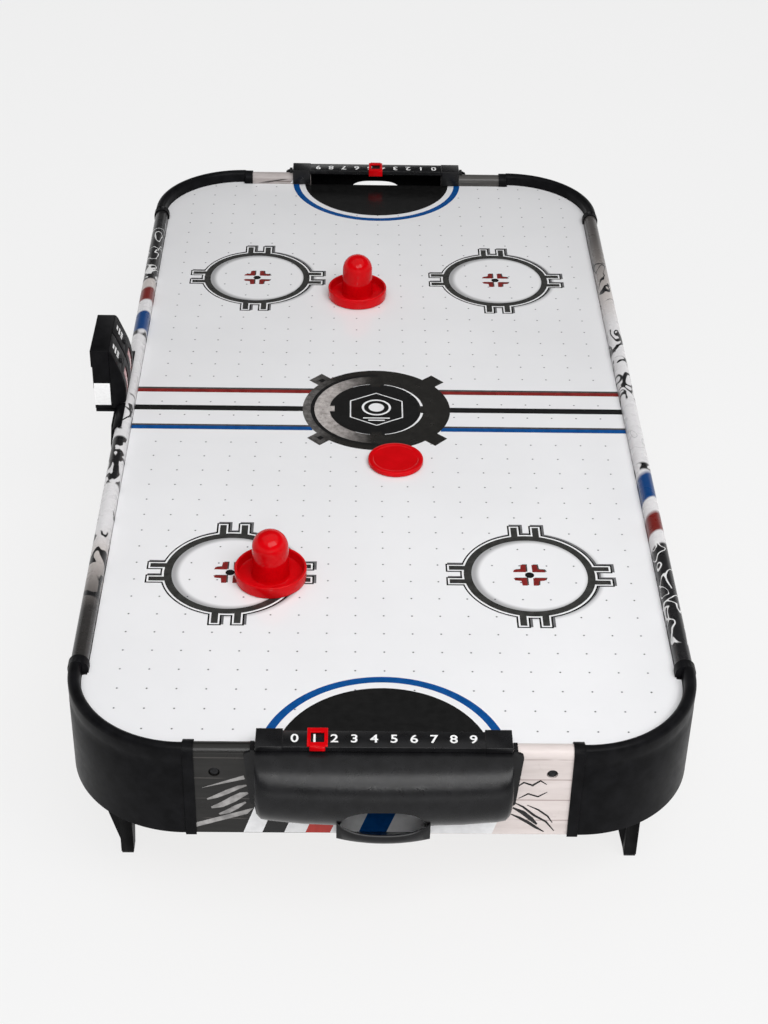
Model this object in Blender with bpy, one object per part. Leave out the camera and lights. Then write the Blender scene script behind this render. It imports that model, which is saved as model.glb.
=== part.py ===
"""Tabletop air hockey table: printed board frame, goal catchers, score bars, scorer and blower.

The table lies along Y, its players stand at -Y (near) and +Y (far), and +Z is up.
All dimensions are in millimetres and turn into metres when a mesh is made.
Heights called "above the board" are measured from the top face of the playfield.
"""
import math

import bmesh
import bpy
from mathutils import Vector

MM = 0.001
GAP = 0.3                      # clearance between touching pieces

# frame
BOARD_TOP = 169.0              # playfield height over the ground
BOARD_THICK = 5.0
FRAME_HALF_X = 253.3           # outer face of the side rails
FRAME_HALF_Y = 506.5           # outer face of the end aprons
WALL = 14.0                    # rail and apron thickness
RAIL_RISE = 11.0               # rail top above the board
FRAME_DROP = 77.0              # frame bottom below the board
CORNER_RADIUS = 97.8
CORNER_WALL = 10.0
CORNER_SKIN = 2.5
CORNER_RISE = 12.5
COLLAR_WIDTH = 8.6
COLLAR_PROUD = 1.5
CORNER_STEPS = 9
NOSE_STEPS = 6

# goals
GOAL_HALF = 77.5
GOAL_SILL = -12.0              # bottom of the goal notch, above the board
CATCH_HALF = 98.5
WING_HALF = 107.5
CATCH_TOP = 13.0
CATCH_SKIN = 2.4
CATCH_AXIS = 5.0               # drum axis out from the apron face
SCOOP_HALF = 36.0
STRIP_LOW = 13.4
STRIP_HIGH = 18.0
STRIP_INNER = 491.8
STRIP_OUTER = 510.5
NEAR_SCORE_X = -51.0
FAR_SCORE_X = -0.5

# playing pieces
MALLET_NEAR = (-95.6, -275.8)
MALLET_FAR = (-21.7, 222.2)
PUCK_AT = (15.0, -96.5)
PUCK_RADIUS = 26.0
RIM_RADIUS = 31.2
RIM_TOP = 11.7
GRIP_RADIUS = 15.7
DOME_LEVEL = 32.9
ROUND_STEPS = 24

# legs
LEG_X = 212.6
LEG_FRONT = 440.0
LEG_BOTTOM = -167.0
PAD_BOTTOM = -169.0
LEG_WIDTH = 10.6

# floor of the air box
PANEL_TOP = -70.5
PANEL_THICK = 3.0
FAN_HOLE = 44.0

# scorer on the left rail
SCORER_Y0 = -17.0
SCORER_Y1 = 53.0
SCORER_Z0 = 5.6
SCORER_Z1 = 70.3
SCORER_SPLIT = -259.0


# ---------------------------------------------------------------- meshes

def link(name, geometry, finish, pivot=(0.0, 0.0, 0.0)):
    """Makes an object from vertices and faces; pivot is its origin in table coordinates."""
    verts, faces = geometry
    mesh = bpy.data.meshes.new(name)
    base = Vector(pivot)
    points = [(Vector(v) - base) * MM for v in verts]
    mesh.from_pydata([tuple(p) for p in points], [], faces)
    shell = bmesh.new()
    shell.from_mesh(mesh)
    bmesh.ops.remove_doubles(shell, verts=shell.verts, dist=0.000001)
    bmesh.ops.recalc_face_normals(shell, faces=shell.faces)
    shell.to_mesh(mesh)
    shell.free()
    mesh.materials.append(paint(name, finish))
    piece = bpy.data.objects.new(name, mesh)
    bpy.context.scene.collection.objects.link(piece)
    piece.location = base * MM
    return piece


def paint(name, finish):
    """A Principled material for one sub-part."""
    color, roughness, metallic = FINISHES[finish]
    material = bpy.data.materials.new(name + "_finish")
    material.use_nodes = True
    shader = material.node_tree.nodes["Principled BSDF"]
    shader.inputs["Base Color"].default_value = (*color, 1.0)
    shader.inputs["Roughness"].default_value = roughness
    shader.inputs["Metallic"].default_value = metallic
    return material


FINISHES = {
    "board": ((0.80, 0.80, 0.83), 0.15, 0.0),
    "rail": ((0.75, 0.74, 0.74), 0.35, 0.0),
    "black": ((0.018, 0.018, 0.020), 0.42, 0.0),
    "grain": ((0.014, 0.014, 0.015), 0.50, 0.0),
    "red": ((0.72, 0.010, 0.014), 0.22, 0.0),
    "felt": ((0.020, 0.020, 0.022), 0.95, 0.0),
    "wood": ((0.45, 0.32, 0.19), 0.75, 0.0),
    "fibre": ((0.28, 0.17, 0.09), 0.80, 0.0),
    "rubber": ((0.015, 0.015, 0.015), 0.90, 0.0),
    "steel": ((0.55, 0.56, 0.58), 0.35, 1.0),
    "green": ((0.02, 0.16, 0.06), 0.45, 0.0),
    "window": ((0.18, 0.010, 0.012), 0.10, 0.0),
    "cell": ((0.30, 0.31, 0.33), 0.35, 0.6),
}


def smooth(piece, angle=35.0):
    piece.data.shade_smooth()
    piece.data.set_sharp_from_angle(angle=math.radians(angle))
    return piece


def soften(piece, width, segments=1):
    """Rounds the sharp edges of a moulded piece."""
    bevel = piece.modifiers.new("edge_rounding", "BEVEL")
    bevel.width = width * MM
    bevel.segments = segments
    bevel.limit_method = "ANGLE"
    bevel.angle_limit = math.radians(50)
    return piece


def carve(piece, other, operation):
    """Combines two objects with an exact Boolean and removes the second."""
    cut = piece.modifiers.new("cut", "BOOLEAN")
    cut.operation = operation
    cut.solver = "EXACT"
    cut.object = other
    bpy.context.view_layer.update()
    graph = bpy.context.evaluated_depsgraph_get()
    result = bpy.data.meshes.new_from_object(piece.evaluated_get(graph))
    piece.modifiers.clear()
    piece.data = result
    bpy.data.objects.remove(other)
    return piece


def prism(outline, axis, low, high):
    """An outline pulled along an axis: (y, z) for x, (x, z) for y and (x, y) for z."""
    place = {
        "x": lambda a, b, t: (t, a, b),
        "y": lambda a, b, t: (a, t, b),
        "z": lambda a, b, t: (a, b, t),
    }[axis]
    return sweep([[place(a, b, t) for a, b in outline] for t in (low, high)])


def block(x0, x1, y0, y1, z0, z1):
    return prism([(x0, y0), (x1, y0), (x1, y1), (x0, y1)], "z", z0, z1)


def sweep(stations):
    """A closed solid through equal rings of points, with a flat cap at both ends."""
    count = len(stations[0])
    verts = [point for ring in stations for point in ring]
    faces = [list(range(count))]
    for k in range(len(stations) - 1):
        for i in range(count):
            j = (i + 1) % count
            a = k * count
            faces.append([a + i, a + j, a + count + j, a + count + i])
    last = (len(stations) - 1) * count
    faces.append([last + i for i in range(count)])
    return verts, faces


def turned(profile, steps, centre=(0.0, 0.0, 0.0), axis="z"):
    """A closed (radius, height) profile turned about an axis through centre."""
    cx, cy, cz = centre
    place = {
        "x": lambda a, b, h: (cx + h, cy + a, cz + b),
        "y": lambda a, b, h: (cx + a, cy + h, cz + b),
        "z": lambda a, b, h: (cx + a, cy + b, cz + h),
    }[axis]
    rings = []
    verts = []
    for radius, height in profile:
        if radius < 1e-6:
            rings.append([len(verts)])
            verts.append(place(0.0, 0.0, height))
            continue
        ring = []
        for i in range(steps):
            turn = 2 * math.pi * i / steps
            ring.append(len(verts))
            verts.append(place(radius * math.cos(turn), radius * math.sin(turn), height))
        rings.append(ring)
    faces = []
    for lower, upper in zip(rings, rings[1:] + rings[:1]):
        faces.extend(band(lower, upper, steps))
    return verts, faces


def band(lower, upper, steps):
    """Faces between two rings of a turned profile; a ring of one vertex is a pole."""
    if len(lower) == 1 and len(upper) == 1:
        return []
    faces = []
    for i in range(steps):
        j = (i + 1) % steps
        if len(lower) == 1:
            faces.append([lower[0], upper[i], upper[j]])
        elif len(upper) == 1:
            faces.append([lower[i], lower[j], upper[0]])
        else:
            faces.append([lower[i], lower[j], upper[j], upper[i]])
    return faces


def cells(xs, ys, zs, filled, place=None):
    """The skin of the filled cells of a grid; filled(x, y, z) is asked at each cell's middle.

    With a place function the grid is polar: its second direction is a full turn.
    """
    sizes = (len(xs) - 1, len(ys) - 1, len(zs) - 1)
    polar = place is not None
    place = place or (lambda x, y, z: (x, y, z))

    def full(i, j, k):
        j = j % sizes[1] if polar else j
        if not (0 <= i < sizes[0] and 0 <= j < sizes[1] and 0 <= k < sizes[2]):
            return False
        middle = [(line[n] + line[n + 1]) / 2 for line, n in ((xs, i), (ys, j), (zs, k))]
        return filled(*middle)

    verts = []
    faces = []
    numbers = {}

    def corner(i, j, k):
        j = j % sizes[1] if polar else j
        if (i, j, k) not in numbers:
            numbers[(i, j, k)] = len(verts)
            verts.append(place(xs[i], ys[j], zs[k]))
        return numbers[(i, j, k)]

    sides = {
        (-1, 0, 0): ((0, 0, 0), (0, 0, 1), (0, 1, 1), (0, 1, 0)),
        (1, 0, 0): ((1, 0, 0), (1, 1, 0), (1, 1, 1), (1, 0, 1)),
        (0, -1, 0): ((0, 0, 0), (1, 0, 0), (1, 0, 1), (0, 0, 1)),
        (0, 1, 0): ((0, 1, 0), (0, 1, 1), (1, 1, 1), (1, 1, 0)),
        (0, 0, -1): ((0, 0, 0), (0, 1, 0), (1, 1, 0), (1, 0, 0)),
        (0, 0, 1): ((0, 0, 1), (1, 0, 1), (1, 1, 1), (0, 1, 1)),
    }
    for i in range(sizes[0]):
        for j in range(sizes[1]):
            for k in range(sizes[2]):
                if not full(i, j, k):
                    continue
                for (a, b, c), loop in sides.items():
                    if full(i + a, j + b, k + c):
                        continue
                    faces.append([corner(i + p, j + q, k + r) for p, q, r in loop])
    return verts, faces


def above(height):
    """Absolute height of a level given above the board."""
    return BOARD_TOP + height


def raised(geometry):
    """Moves a shape drawn above the board to its absolute height."""
    verts, faces = geometry
    return [(x, y, above(z)) for x, y, z in verts], faces


def half_turned(geometry):
    """The same shape at the far end of the table."""
    verts, faces = geometry
    return [(-x, -y, z) for x, y, z in verts], faces


def mirrored(geometry, sx, sy):
    verts, faces = geometry
    return [(sx * x, sy * y, z) for x, y, z in verts], faces


def arc(cx, cy, radius, start, end, steps):
    points = []
    for i in range(steps + 1):
        turn = math.radians(start + (end - start) * i / steps)
        points.append((cx + radius * math.cos(turn), cy + radius * math.sin(turn)))
    return points


# ---------------------------------------------------------------- frame

def floor_outline():
    """Plan of the playfield and of the bottom panel, inside rails and corner covers."""
    inner_x = FRAME_HALF_X - WALL - GAP
    inner_y = FRAME_HALF_Y - WALL - GAP
    cx = FRAME_HALF_X - CORNER_RADIUS
    cy = FRAME_HALF_Y - CORNER_RADIUS
    radius = CORNER_RADIUS - CORNER_WALL - GAP
    quarter = [(inner_x, cy - 2.0)] + arc(cx, cy, radius, 0, 90, CORNER_STEPS)
    quarter.append((cx + 1.5, inner_y))
    quarter[1] = (cx + radius, cy - 1.5)
    quarter[-2] = (cx + 1.0, cy + radius)
    outline = []
    for sx, sy, flip in ((1, 1, False), (-1, 1, True), (-1, -1, False), (1, -1, True)):
        points = [(sx * x, sy * y) for x, y in quarter]
        outline.extend(reversed(points) if flip else points)
    return outline


def make_playfield_board():
    plate = prism(floor_outline(), "z", -BOARD_THICK, 0.0)
    return link("playfield_board", raised(plate), "board")


def wall_section():
    """Rail section as (distance in from the outer face, height above the board)."""
    half = WALL / 2
    nose = arc(half, RAIL_RISE - half, half, 180, 0, NOSE_STEPS)
    return [(0.0, -FRAME_DROP)] + nose + [(WALL, -FRAME_DROP)]


def make_side_rail(name, side):
    reach = FRAME_HALF_Y - CORNER_RADIUS - 4.1
    outline = [(side * (FRAME_HALF_X - s), z) for s, z in wall_section()]
    rail = link(name, raised(prism(outline, "y", -reach, reach)), "rail")
    return smooth(rail)


def make_end_apron(name, end):
    reach = FRAME_HALF_X - CORNER_RADIUS - 0.9
    outline = [(end * (FRAME_HALF_Y - s), z) for s, z in wall_section()]
    apron = link(name, raised(prism(outline, "x", -reach, reach)), "rail")
    low, high = sorted((end * (FRAME_HALF_Y - WALL - 5), end * (FRAME_HALF_Y + 5)))
    notch = block(-GOAL_HALF, GOAL_HALF, low, high, GOAL_SILL, RAIL_RISE + 5)
    carve(apron, link("notch", raised(notch), "rail"), "DIFFERENCE")
    for side in (-1, 1):
        hole = turned(
            [(0, -WALL - 3), (2.0, -WALL - 3), (2.0, -3.2), (4.4, -3.2), (4.4, 3), (0, 3)],
            16, (0, 0, 0), "y")
        hole = [(x, end * (FRAME_HALF_Y + y), z) for x, y, z in hole[0]], hole[1]
        hole = [(x + side * SCREW_X, y, z + SCREW_Z) for x, y, z in hole[0]], hole[1]
        carve(apron, link("hole", raised(hole), "rail"), "DIFFERENCE")
    return smooth(apron)


SCREW_X = 130.7
SCREW_Z = -12.3


def make_apron_screw(name, end, side):
    """Countersunk screw that holds the apron, its head sunk in the wall."""
    profile = [(0, -13.4), (1.7, -13.4), (1.7, -2.9), (4.0, -2.9), (4.0, -1.4), (3.2, -0.8),
               (0, -0.8)]
    verts, faces = turned(profile, 14, (0, 0, 0), "y")
    verts = [(x + side * SCREW_X, end * (FRAME_HALF_Y + y), z + SCREW_Z) for x, y, z in verts]
    return smooth(link(name, raised((verts, faces)), "steel"))


def collar_section():
    """Sleeve over the end of a rail."""
    middle = WALL / 2
    level = RAIL_RISE - middle
    skin = arc(middle, level, middle + COLLAR_PROUD, 180, 0, NOSE_STEPS)
    room = arc(middle, level, middle + GAP, 0, 180, NOSE_STEPS)
    outside = [(-COLLAR_PROUD, -FRAME_DROP - 1.2), (-COLLAR_PROUD, -9.0),
               (-COLLAR_PROUD, -5.0), (-COLLAR_PROUD, -1.0)]
    inside = [(WALL + COLLAR_PROUD, GAP), (WALL + GAP, GAP)]
    return outside + skin + inside + room + [(-GAP, -FRAME_DROP - 1.2)]


def bend_section(inner_bottom=-FRAME_DROP - 0.5):
    """Hollow wall of a corner cover, with a soft crease under its rounded lip."""
    middle = CORNER_WALL / 2
    level = CORNER_RISE - middle
    skin = arc(middle, level, middle, 180, 0, NOSE_STEPS)
    room = arc(middle, level - 1.0, middle - CORNER_SKIN, 0, 180, NOSE_STEPS)
    outside = [(0.0, -FRAME_DROP - 0.5), (0.0, -10.0), (0.8, -5.5), (0.1, -1.5)]
    inside = [(CORNER_WALL, inner_bottom), (CORNER_WALL - CORNER_SKIN, inner_bottom)]
    return outside + skin + inside + room + [(CORNER_SKIN, -FRAME_DROP - 0.5)]


def corner_geometry():
    """Corner cover of the +X +Y corner: end collar, quarter bend, side collar."""
    cx = FRAME_HALF_X - CORNER_RADIUS
    cy = FRAME_HALF_Y - CORNER_RADIUS

    def on_end(x, section):
        return [(x, FRAME_HALF_Y - s, z) for s, z in section]

    def on_side(y, section):
        return [(FRAME_HALF_X - s, y, z) for s, z in section]

    def on_bend(degrees, section):
        turn = math.radians(degrees)
        ring = []
        for s, z in section:
            reach = CORNER_RADIUS - s
            ring.append((cx + reach * math.cos(turn), cy + reach * math.sin(turn), z))
        return ring

    collar = collar_section()
    bend = bend_section()
    lifted = bend_section(GAP)
    stations = [on_end(cx - 0.6 - COLLAR_WIDTH, collar), on_end(cx - 0.6, collar)]
    stations.append(on_end(cx - 0.3, lifted))
    for step in range(CORNER_STEPS + 1):
        stations.append(on_bend(90 - 90 * step / CORNER_STEPS, bend))
    stations.append(on_side(cy - 3.1, bend))
    stations.append(on_side(cy - 3.4, lifted))
    stations.append(on_side(cy - 3.7, collar))
    stations.append(on_side(cy - 3.7 - COLLAR_WIDTH, collar))
    return sweep(stations)


def make_corner(name, sx, sy):
    cover = link(name, raised(mirrored(corner_geometry(), sx, sy)), "black")
    return smooth(cover, 40)


# ---------------------------------------------------------------- legs

def leg_geometry():
    """Leg seen from the near left corner; origin under the frame at the rib's front."""
    half = LEG_WIDTH / 2
    top = -FRAME_DROP + PANEL_THICK
    rib = prism([(0, LEG_BOTTOM), (0, top), (50, top), (12, LEG_BOTTOM)], "x", -half, half)
    web = prism([(-half + 1, LEG_BOTTOM), (-half, LEG_BOTTOM), (-half - 9.6, LEG_BOTTOM + 37),
                 (-half - 9.6, top), (-half + 1, top)], "y", 9, 14)
    plate = block(-14, 14, 14.2, 56, top - 3, top)
    return rib, web, plate


def make_leg(name, sx, sy):
    """All four legs are one moulding, turned half round at the far end."""
    x = sx * LEG_X
    y = sy * LEG_FRONT
    turn = 1 if sy < 0 else -1
    pieces = []
    for index, (verts, faces) in enumerate(leg_geometry()):
        moved = [(x + turn * a, y + turn * b, c) for a, b, c in verts]
        pieces.append(link(name if index == 0 else "leg_cut", raised((moved, faces)), "black"))
    leg = carve(pieces[0], pieces[1], "UNION")
    return carve(leg, pieces[2], "UNION")


def make_foot_pad(name, sx, sy):
    x = sx * LEG_X
    y = sy * LEG_FRONT
    turn = 1 if sy < 0 else -1
    y0, y1 = sorted((y + turn * 0.5, y + turn * 11.5))
    pad = block(x - 4.9, x + 4.9, y0, y1, PAD_BOTTOM, LEG_BOTTOM - GAP)
    return link(name, raised(pad), "rubber")


# ---------------------------------------------------------------- goals

DRUM_SIZES = ((-98.5, 24.0), (-97.3, 27.0), (-94.0, 29.2), (-80.0, 30.3), (-42.0, 31.6),
              (0.0, 32.4), (42.0, 31.6), (80.0, 30.3), (94.0, 29.2), (97.3, 27.0), (98.5, 24.0))


def drum_ring(x, radius, skin, back):
    """Half-round drum section at x, drawn for the near goal."""
    level = CATCH_TOP - radius
    curve = arc(CATCH_AXIS, level, radius - skin, 90, -90, 12)
    points = [(back, CATCH_TOP - skin)] + curve + [(back, CATCH_TOP - 2 * radius + skin)]
    return [(x, -FRAME_HALF_Y - d, z) for d, z in points]


def drum_outside():
    return sweep([drum_ring(x, radius, 0.0, GAP) for x, radius in DRUM_SIZES])


def drum_inside():
    limit = CATCH_HALF - CATCH_SKIN
    rings = []
    for x, radius in DRUM_SIZES:
        if abs(x) < 97.5:
            place = max(-limit, min(limit, x))
            rings.append(drum_ring(place, radius, CATCH_SKIN, -3.0))
    return sweep(rings)


def scoop_front(x):
    """How far the scoop's rim stands out from the apron at x."""
    return 41.0 - 5.5 * (x / SCOOP_HALF) ** 2


def scoop_rim(x):
    """Height of the scoop's rim at x; it climbs the drum at both sides."""
    return -39.5 + 8.5 * (x / SCOOP_HALF) ** 4


def scoop_outside():
    rings = []
    for x in (-36.0, -34.0, -30.0, -24.0, -12.0, 0.0, 12.0, 24.0, 30.0, 34.0, 36.0):
        front = scoop_front(x)
        rim = scoop_rim(x)
        points = [(GAP, -49.5), (17.0, -47.0), (25.0, -43.0), (front, rim),
                  (front + 0.4, rim - 5.0), (front - 2.6, -49.5), (GAP, -79.0)]
        rings.append([(x, -FRAME_HALF_Y - d, z) for d, z in points])
    return sweep(rings)


def scoop_inside():
    rings = []
    for x in (-33.6, -26.0, -13.0, 0.0, 13.0, 26.0, 33.6):
        front = scoop_front(x) - 2.3
        points = [(-3.0, -20.0), (front, -20.0), (front, -44.0), (front - 2.2, -47.6),
                  (-3.0, -77.6)]
        rings.append([(x, -FRAME_HALF_Y - d, z) for d, z in points])
    return sweep(rings)


def finger_opening():
    """Arch cut through the drum above the scoop."""
    outline = [(-33.6, -70.0), (-33.6, -43.0)]
    outline += [(x, z) for x, z in arch_points()] + [(33.6, -43.0), (33.6, -70.0)]
    return prism(outline, "y", -FRAME_HALF_Y - 60, -FRAME_HALF_Y + 3)


def arch_points():
    """Flat-topped arch as a superellipse."""
    points = []
    for step in range(1, 14):
        turn = math.pi - math.pi * step / 14
        across = abs(math.cos(turn)) ** 0.6
        points.append((math.copysign(33.6 * across, math.cos(turn)),
                       -43.0 + 24.5 * math.sin(turn) ** 0.7))
    return points


def wing_plate():
    """Mounting wings against the apron, open where the drum opens."""
    outline = [(-99, -46), (-103.5, -42)]
    outline += [(-WING_HALF, 7), (-WING_HALF + 4, 11.2), (WING_HALF - 4, 11.2), (WING_HALF, 7)]
    outline += [(103.5, -42), (99, -46)]
    return prism(outline, "y", -FRAME_HALF_Y - 2.8, -FRAME_HALF_Y - GAP)


def wing_hook(side):
    """Small hook over the rail top at the outer corner of a wing."""
    outline = [(-FRAME_HALF_Y - 2.8, 5.0), (-FRAME_HALF_Y - 2.8, 13.2),
               (-FRAME_HALF_Y + 8.0, 13.2), (-FRAME_HALF_Y + 8.0, 11.4),
               (-FRAME_HALF_Y + 1.6, 11.4), (-FRAME_HALF_Y - GAP, 9.0),
               (-FRAME_HALF_Y - GAP, 5.0)]
    low, high = sorted((side * 99.4, side * 102.6))
    return prism(outline, "x", low, high)


def make_catcher(name, end):
    """Goal catcher: drum, scoop and wings in one moulding."""
    turn = (lambda g: g) if end < 0 else half_turned

    def piece(title, geometry):
        return link(title, raised(turn(geometry)), "grain")

    drum = piece(name, drum_outside())
    carve(drum, piece("room", drum_inside()), "DIFFERENCE")
    carve(drum, piece("arch", finger_opening()), "DIFFERENCE")
    wings = piece("wings", wing_plate())
    carve(wings, piece("room", drum_inside()), "DIFFERENCE")
    scoop = piece("scoop", scoop_outside())
    carve(scoop, piece("room", scoop_inside()), "DIFFERENCE")
    carve(drum, wings, "UNION")
    carve(drum, scoop, "UNION")
    for side in (-1, 1):
        carve(drum, piece("hook", wing_hook(side)), "UNION")
    passage = block(-33.6, 33.6, -FRAME_HALF_Y - 6.0, -FRAME_HALF_Y + 3.0, -52.0, -40.0)
    carve(drum, piece("passage", passage), "DIFFERENCE")
    return smooth(drum)


def bar_filled(x, y, z):
    """Score bar cells of the near end: strip, end blocks over the rail and inner cheeks."""
    wide = abs(x)
    strip = -STRIP_OUTER < y < -STRIP_INNER and STRIP_LOW < z < STRIP_HIGH
    if wide < GOAL_HALF + GAP:
        return strip
    over = -506.3 < y < -490.8 and z > 11.4
    beyond = y < -506.3 and z > STRIP_LOW
    cheek = y > -492.1
    return over or beyond or cheek


def bar_geometry():
    xs = [-CATCH_HALF, -GOAL_HALF - GAP, GOAL_HALF + GAP, CATCH_HALF]
    ys = [-STRIP_OUTER - 0.5, -STRIP_OUTER, -506.3, -492.1, -STRIP_INNER, -490.8, -489.8]
    zs = [1.2, 11.4, STRIP_LOW, STRIP_HIGH, 18.5]
    return cells(xs, ys, zs, bar_filled)


def make_score_bar(name, end):
    shape = bar_geometry()
    if end > 0:
        shape = half_turned(shape)
    bar = link(name, raised(shape), "black")
    return soften(bar, 0.5)


def slider_filled(x, y, z):
    """Score slider cells: window frame on top, inner lip with a hook, outer tab."""
    top = z > STRIP_HIGH + GAP
    window = abs(x) < 5.2 and -506.5 < y < -495.2
    outer = -STRIP_OUTER - GAP
    tab = y < outer and z > 15.2 and abs(x) < 6.0
    if top:
        return not window and (y > outer or abs(x) < 6.0)
    lip = y > -STRIP_INNER + GAP
    hook = y > -495.2 and z < STRIP_LOW - GAP
    return tab or lip or hook


def make_score_slider(name, end, x):
    xs = [-8.0, -6.0, -5.2, 5.2, 6.0, 8.0]
    ys = [-STRIP_OUTER - 1.8, -STRIP_OUTER - GAP, -506.5, -495.2, -STRIP_INNER + GAP, -490.2]
    zs = [11.9, STRIP_LOW - GAP, 15.2, STRIP_HIGH + GAP, 19.8]
    shape = cells(xs, ys, zs, slider_filled)
    if end > 0:
        shape = half_turned(shape)
    verts = [(a + x, b, c) for a, b, c in shape[0]]
    pivot = (x, end * (STRIP_INNER + STRIP_OUTER) / 2, above(STRIP_HIGH))
    slider = link(name, raised((verts, shape[1])), "red", pivot)
    return soften(slider, 0.25)


# ---------------------------------------------------------------- playing pieces

def mallet_profile():
    edge = RIM_RADIUS
    rim = [(0.0, 2.1), (edge - 1.4, 2.1), (edge - 0.3, 2.8), (edge, 4.0), (edge, RIM_TOP - 0.9),
           (edge - 0.5, RIM_TOP), (edge - 1.7, RIM_TOP), (edge - 2.3, RIM_TOP - 0.9),
           (edge - 2.7, 6.0), (edge - 3.9, 4.8)]
    grip = [(18.4, 5.0), (16.7, 6.5), (16.1, 10.0), (GRIP_RADIUS, DOME_LEVEL)]
    dome = arc(0.0, DOME_LEVEL, GRIP_RADIUS, 0, 90, 5)[1:-1]
    return rim + grip + dome + [(0.0, DOME_LEVEL + GRIP_RADIUS)]


def make_mallet(name, at):
    centre = (at[0], at[1], BOARD_TOP)
    mallet = link(name, turned(mallet_profile(), ROUND_STEPS, centre), "red", centre)
    return smooth(mallet)


def make_felt(name, at):
    centre = (at[0], at[1], BOARD_TOP)
    reach = RIM_RADIUS - 0.8
    profile = [(0.0, GAP), (reach, GAP), (reach, 1.8), (0.0, 1.8)]
    return link(name, turned(profile, ROUND_STEPS, centre), "felt", centre)


def make_puck():
    centre = (PUCK_AT[0], PUCK_AT[1], BOARD_TOP)
    edge = PUCK_RADIUS
    profile = [(0.0, GAP), (edge - 1.2, GAP), (edge, 1.3), (edge, 4.2), (edge - 1.0, 5.2),
               (edge - 4.2, 5.2), (edge - 4.9, 4.5), (0.0, 4.5)]
    return smooth(link("puck", turned(profile, ROUND_STEPS, centre), "red", centre))


# ---------------------------------------------------------------- air box

def make_bottom_panel():
    plate = prism(floor_outline(), "z", PANEL_TOP - PANEL_THICK, PANEL_TOP)
    panel = link("bottom_panel", raised(plate), "fibre")
    hole = turned([(0, -90), (FAN_HOLE, -90), (FAN_HOLE, -60), (0, -60)], 24)
    return carve(panel, link("hole", raised(hole), "fibre"), "DIFFERENCE")


def make_plenum_rib(name, y):
    """Cross rib between the panel and the board, with two low arches for the air."""
    low = PANEL_TOP + GAP
    high = -BOARD_THICK - GAP
    outline = [(-180.0, low)]
    for centre in (-90.0, 90.0):
        outline += arc(centre, low, 25.0, 180, 0, 8)
    outline += [(180.0, low), (180.0, high), (-180.0, high)]
    return link(name, raised(prism(outline, "y", y - 6, y + 6)), "wood")


def make_batten(name, x0, x1, y0, y1):
    return link(name, raised(block(x0, x1, y0, y1, -17.0, -BOARD_THICK - GAP)), "wood")


def make_battens():
    side = FRAME_HALF_X - WALL - GAP
    end = FRAME_HALF_Y - WALL - GAP
    make_batten("batten_left", -side, -side + 12, -380, 380)
    make_batten("batten_right", side - 12, side, -380, 380)
    make_batten("batten_near", -140, 140, -end, -end + 12)
    make_batten("batten_far", -140, 140, end - 12, end)


FAN_BASE = PANEL_TOP + GAP
FAN_TOP = FAN_BASE + 30.0
FAN_BORE = 42.0


def make_blower_frame():
    """Square blower frame with a round bore; three struts carry the motor seat."""
    bands = [5.0, 18.0, FAN_BORE, 47.0]
    turns = [math.radians(7.5 * i) for i in range(49)]
    levels = [FAN_BASE, FAN_BASE + 3.0, FAN_TOP]

    def filled(radius, turn, z):
        if radius > FAN_BORE:
            return True
        if z > FAN_BASE + 3.0:
            return False
        if radius < 18.0:
            return True
        return math.degrees(turn) % 120.0 < 7.5

    def place(radius, turn, z):
        if radius > FAN_BORE + 1:
            reach = 46.0 / max(abs(math.cos(turn)), abs(math.sin(turn)))
            radius = min(reach, 56.0)
        return radius * math.cos(turn), radius * math.sin(turn), z

    shape = cells(bands, turns, levels, filled, place)
    return link("blower_frame", raised(shape), "black")


def make_blower_motor():
    base = FAN_BASE + 3.0 + GAP
    profile = [(0, base), (16, base), (16, base + 11), (15, base + 12), (1.6, base + 12),
               (1.6, base + 7), (0, base + 7)]
    return smooth(link("blower_motor", raised(turned(profile, 20)), "steel"))


def impeller_ring(z, turn_degrees):
    """Star outline: seven blades on a round hub."""
    ring = []
    for blade in range(7):
        middle = math.radians(turn_degrees + 360.0 * blade / 7)
        for radius, shift in ((18.0, -0.10), (40.0, -0.035), (40.0, 0.035), (18.0, 0.10)):
            turn = middle + shift
            ring.append((radius * math.cos(turn), radius * math.sin(turn), z))
    return ring


def make_blower_impeller():
    base = FAN_BASE + 3.0 + GAP + 12.0 + GAP
    rings = [impeller_ring(base + 6.0 * i, 14.0 * i) for i in range(3)]
    pivot = (0.0, 0.0, above(base))
    wheel = link("blower_impeller", raised(sweep(rings)), "black", pivot)
    shaft = turned([(0, base - 4.5), (1.5, base - 4.5), (1.5, base + 2), (0, base + 2)], 12)
    return carve(wheel, link("shaft", raised(shaft), "steel", pivot), "UNION")


def make_blower_guard():
    """Finger guard under the fan hole: rings and four spokes."""
    bands = [6.0, 10.0, 17.0, 19.5, 27.0, 29.5, 37.0, 39.5, 45.5, 50.0]
    turns = [math.radians(15.0 * i) for i in range(25)]
    low = PANEL_TOP - PANEL_THICK - GAP - 2.4
    levels = [low, low + 2.4]

    def filled(radius, turn, z):
        ring = any(a < radius < b for a, b in zip(bands[::2], bands[1::2]))
        return ring or math.degrees(turn) % 90.0 < 15.0

    def place(radius, turn, z):
        return radius * math.cos(turn), radius * math.sin(turn), z

    return link("blower_guard", raised(cells(bands, turns, levels, filled, place)), "black")


# ---------------------------------------------------------------- power

POWER_Z = -35.0
SWITCH_Y = -300.0
INLET_Y = -335.0
ROCKER_X = FRAME_HALF_X - 1.0
ROCKER_TILT = -8.0


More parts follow.
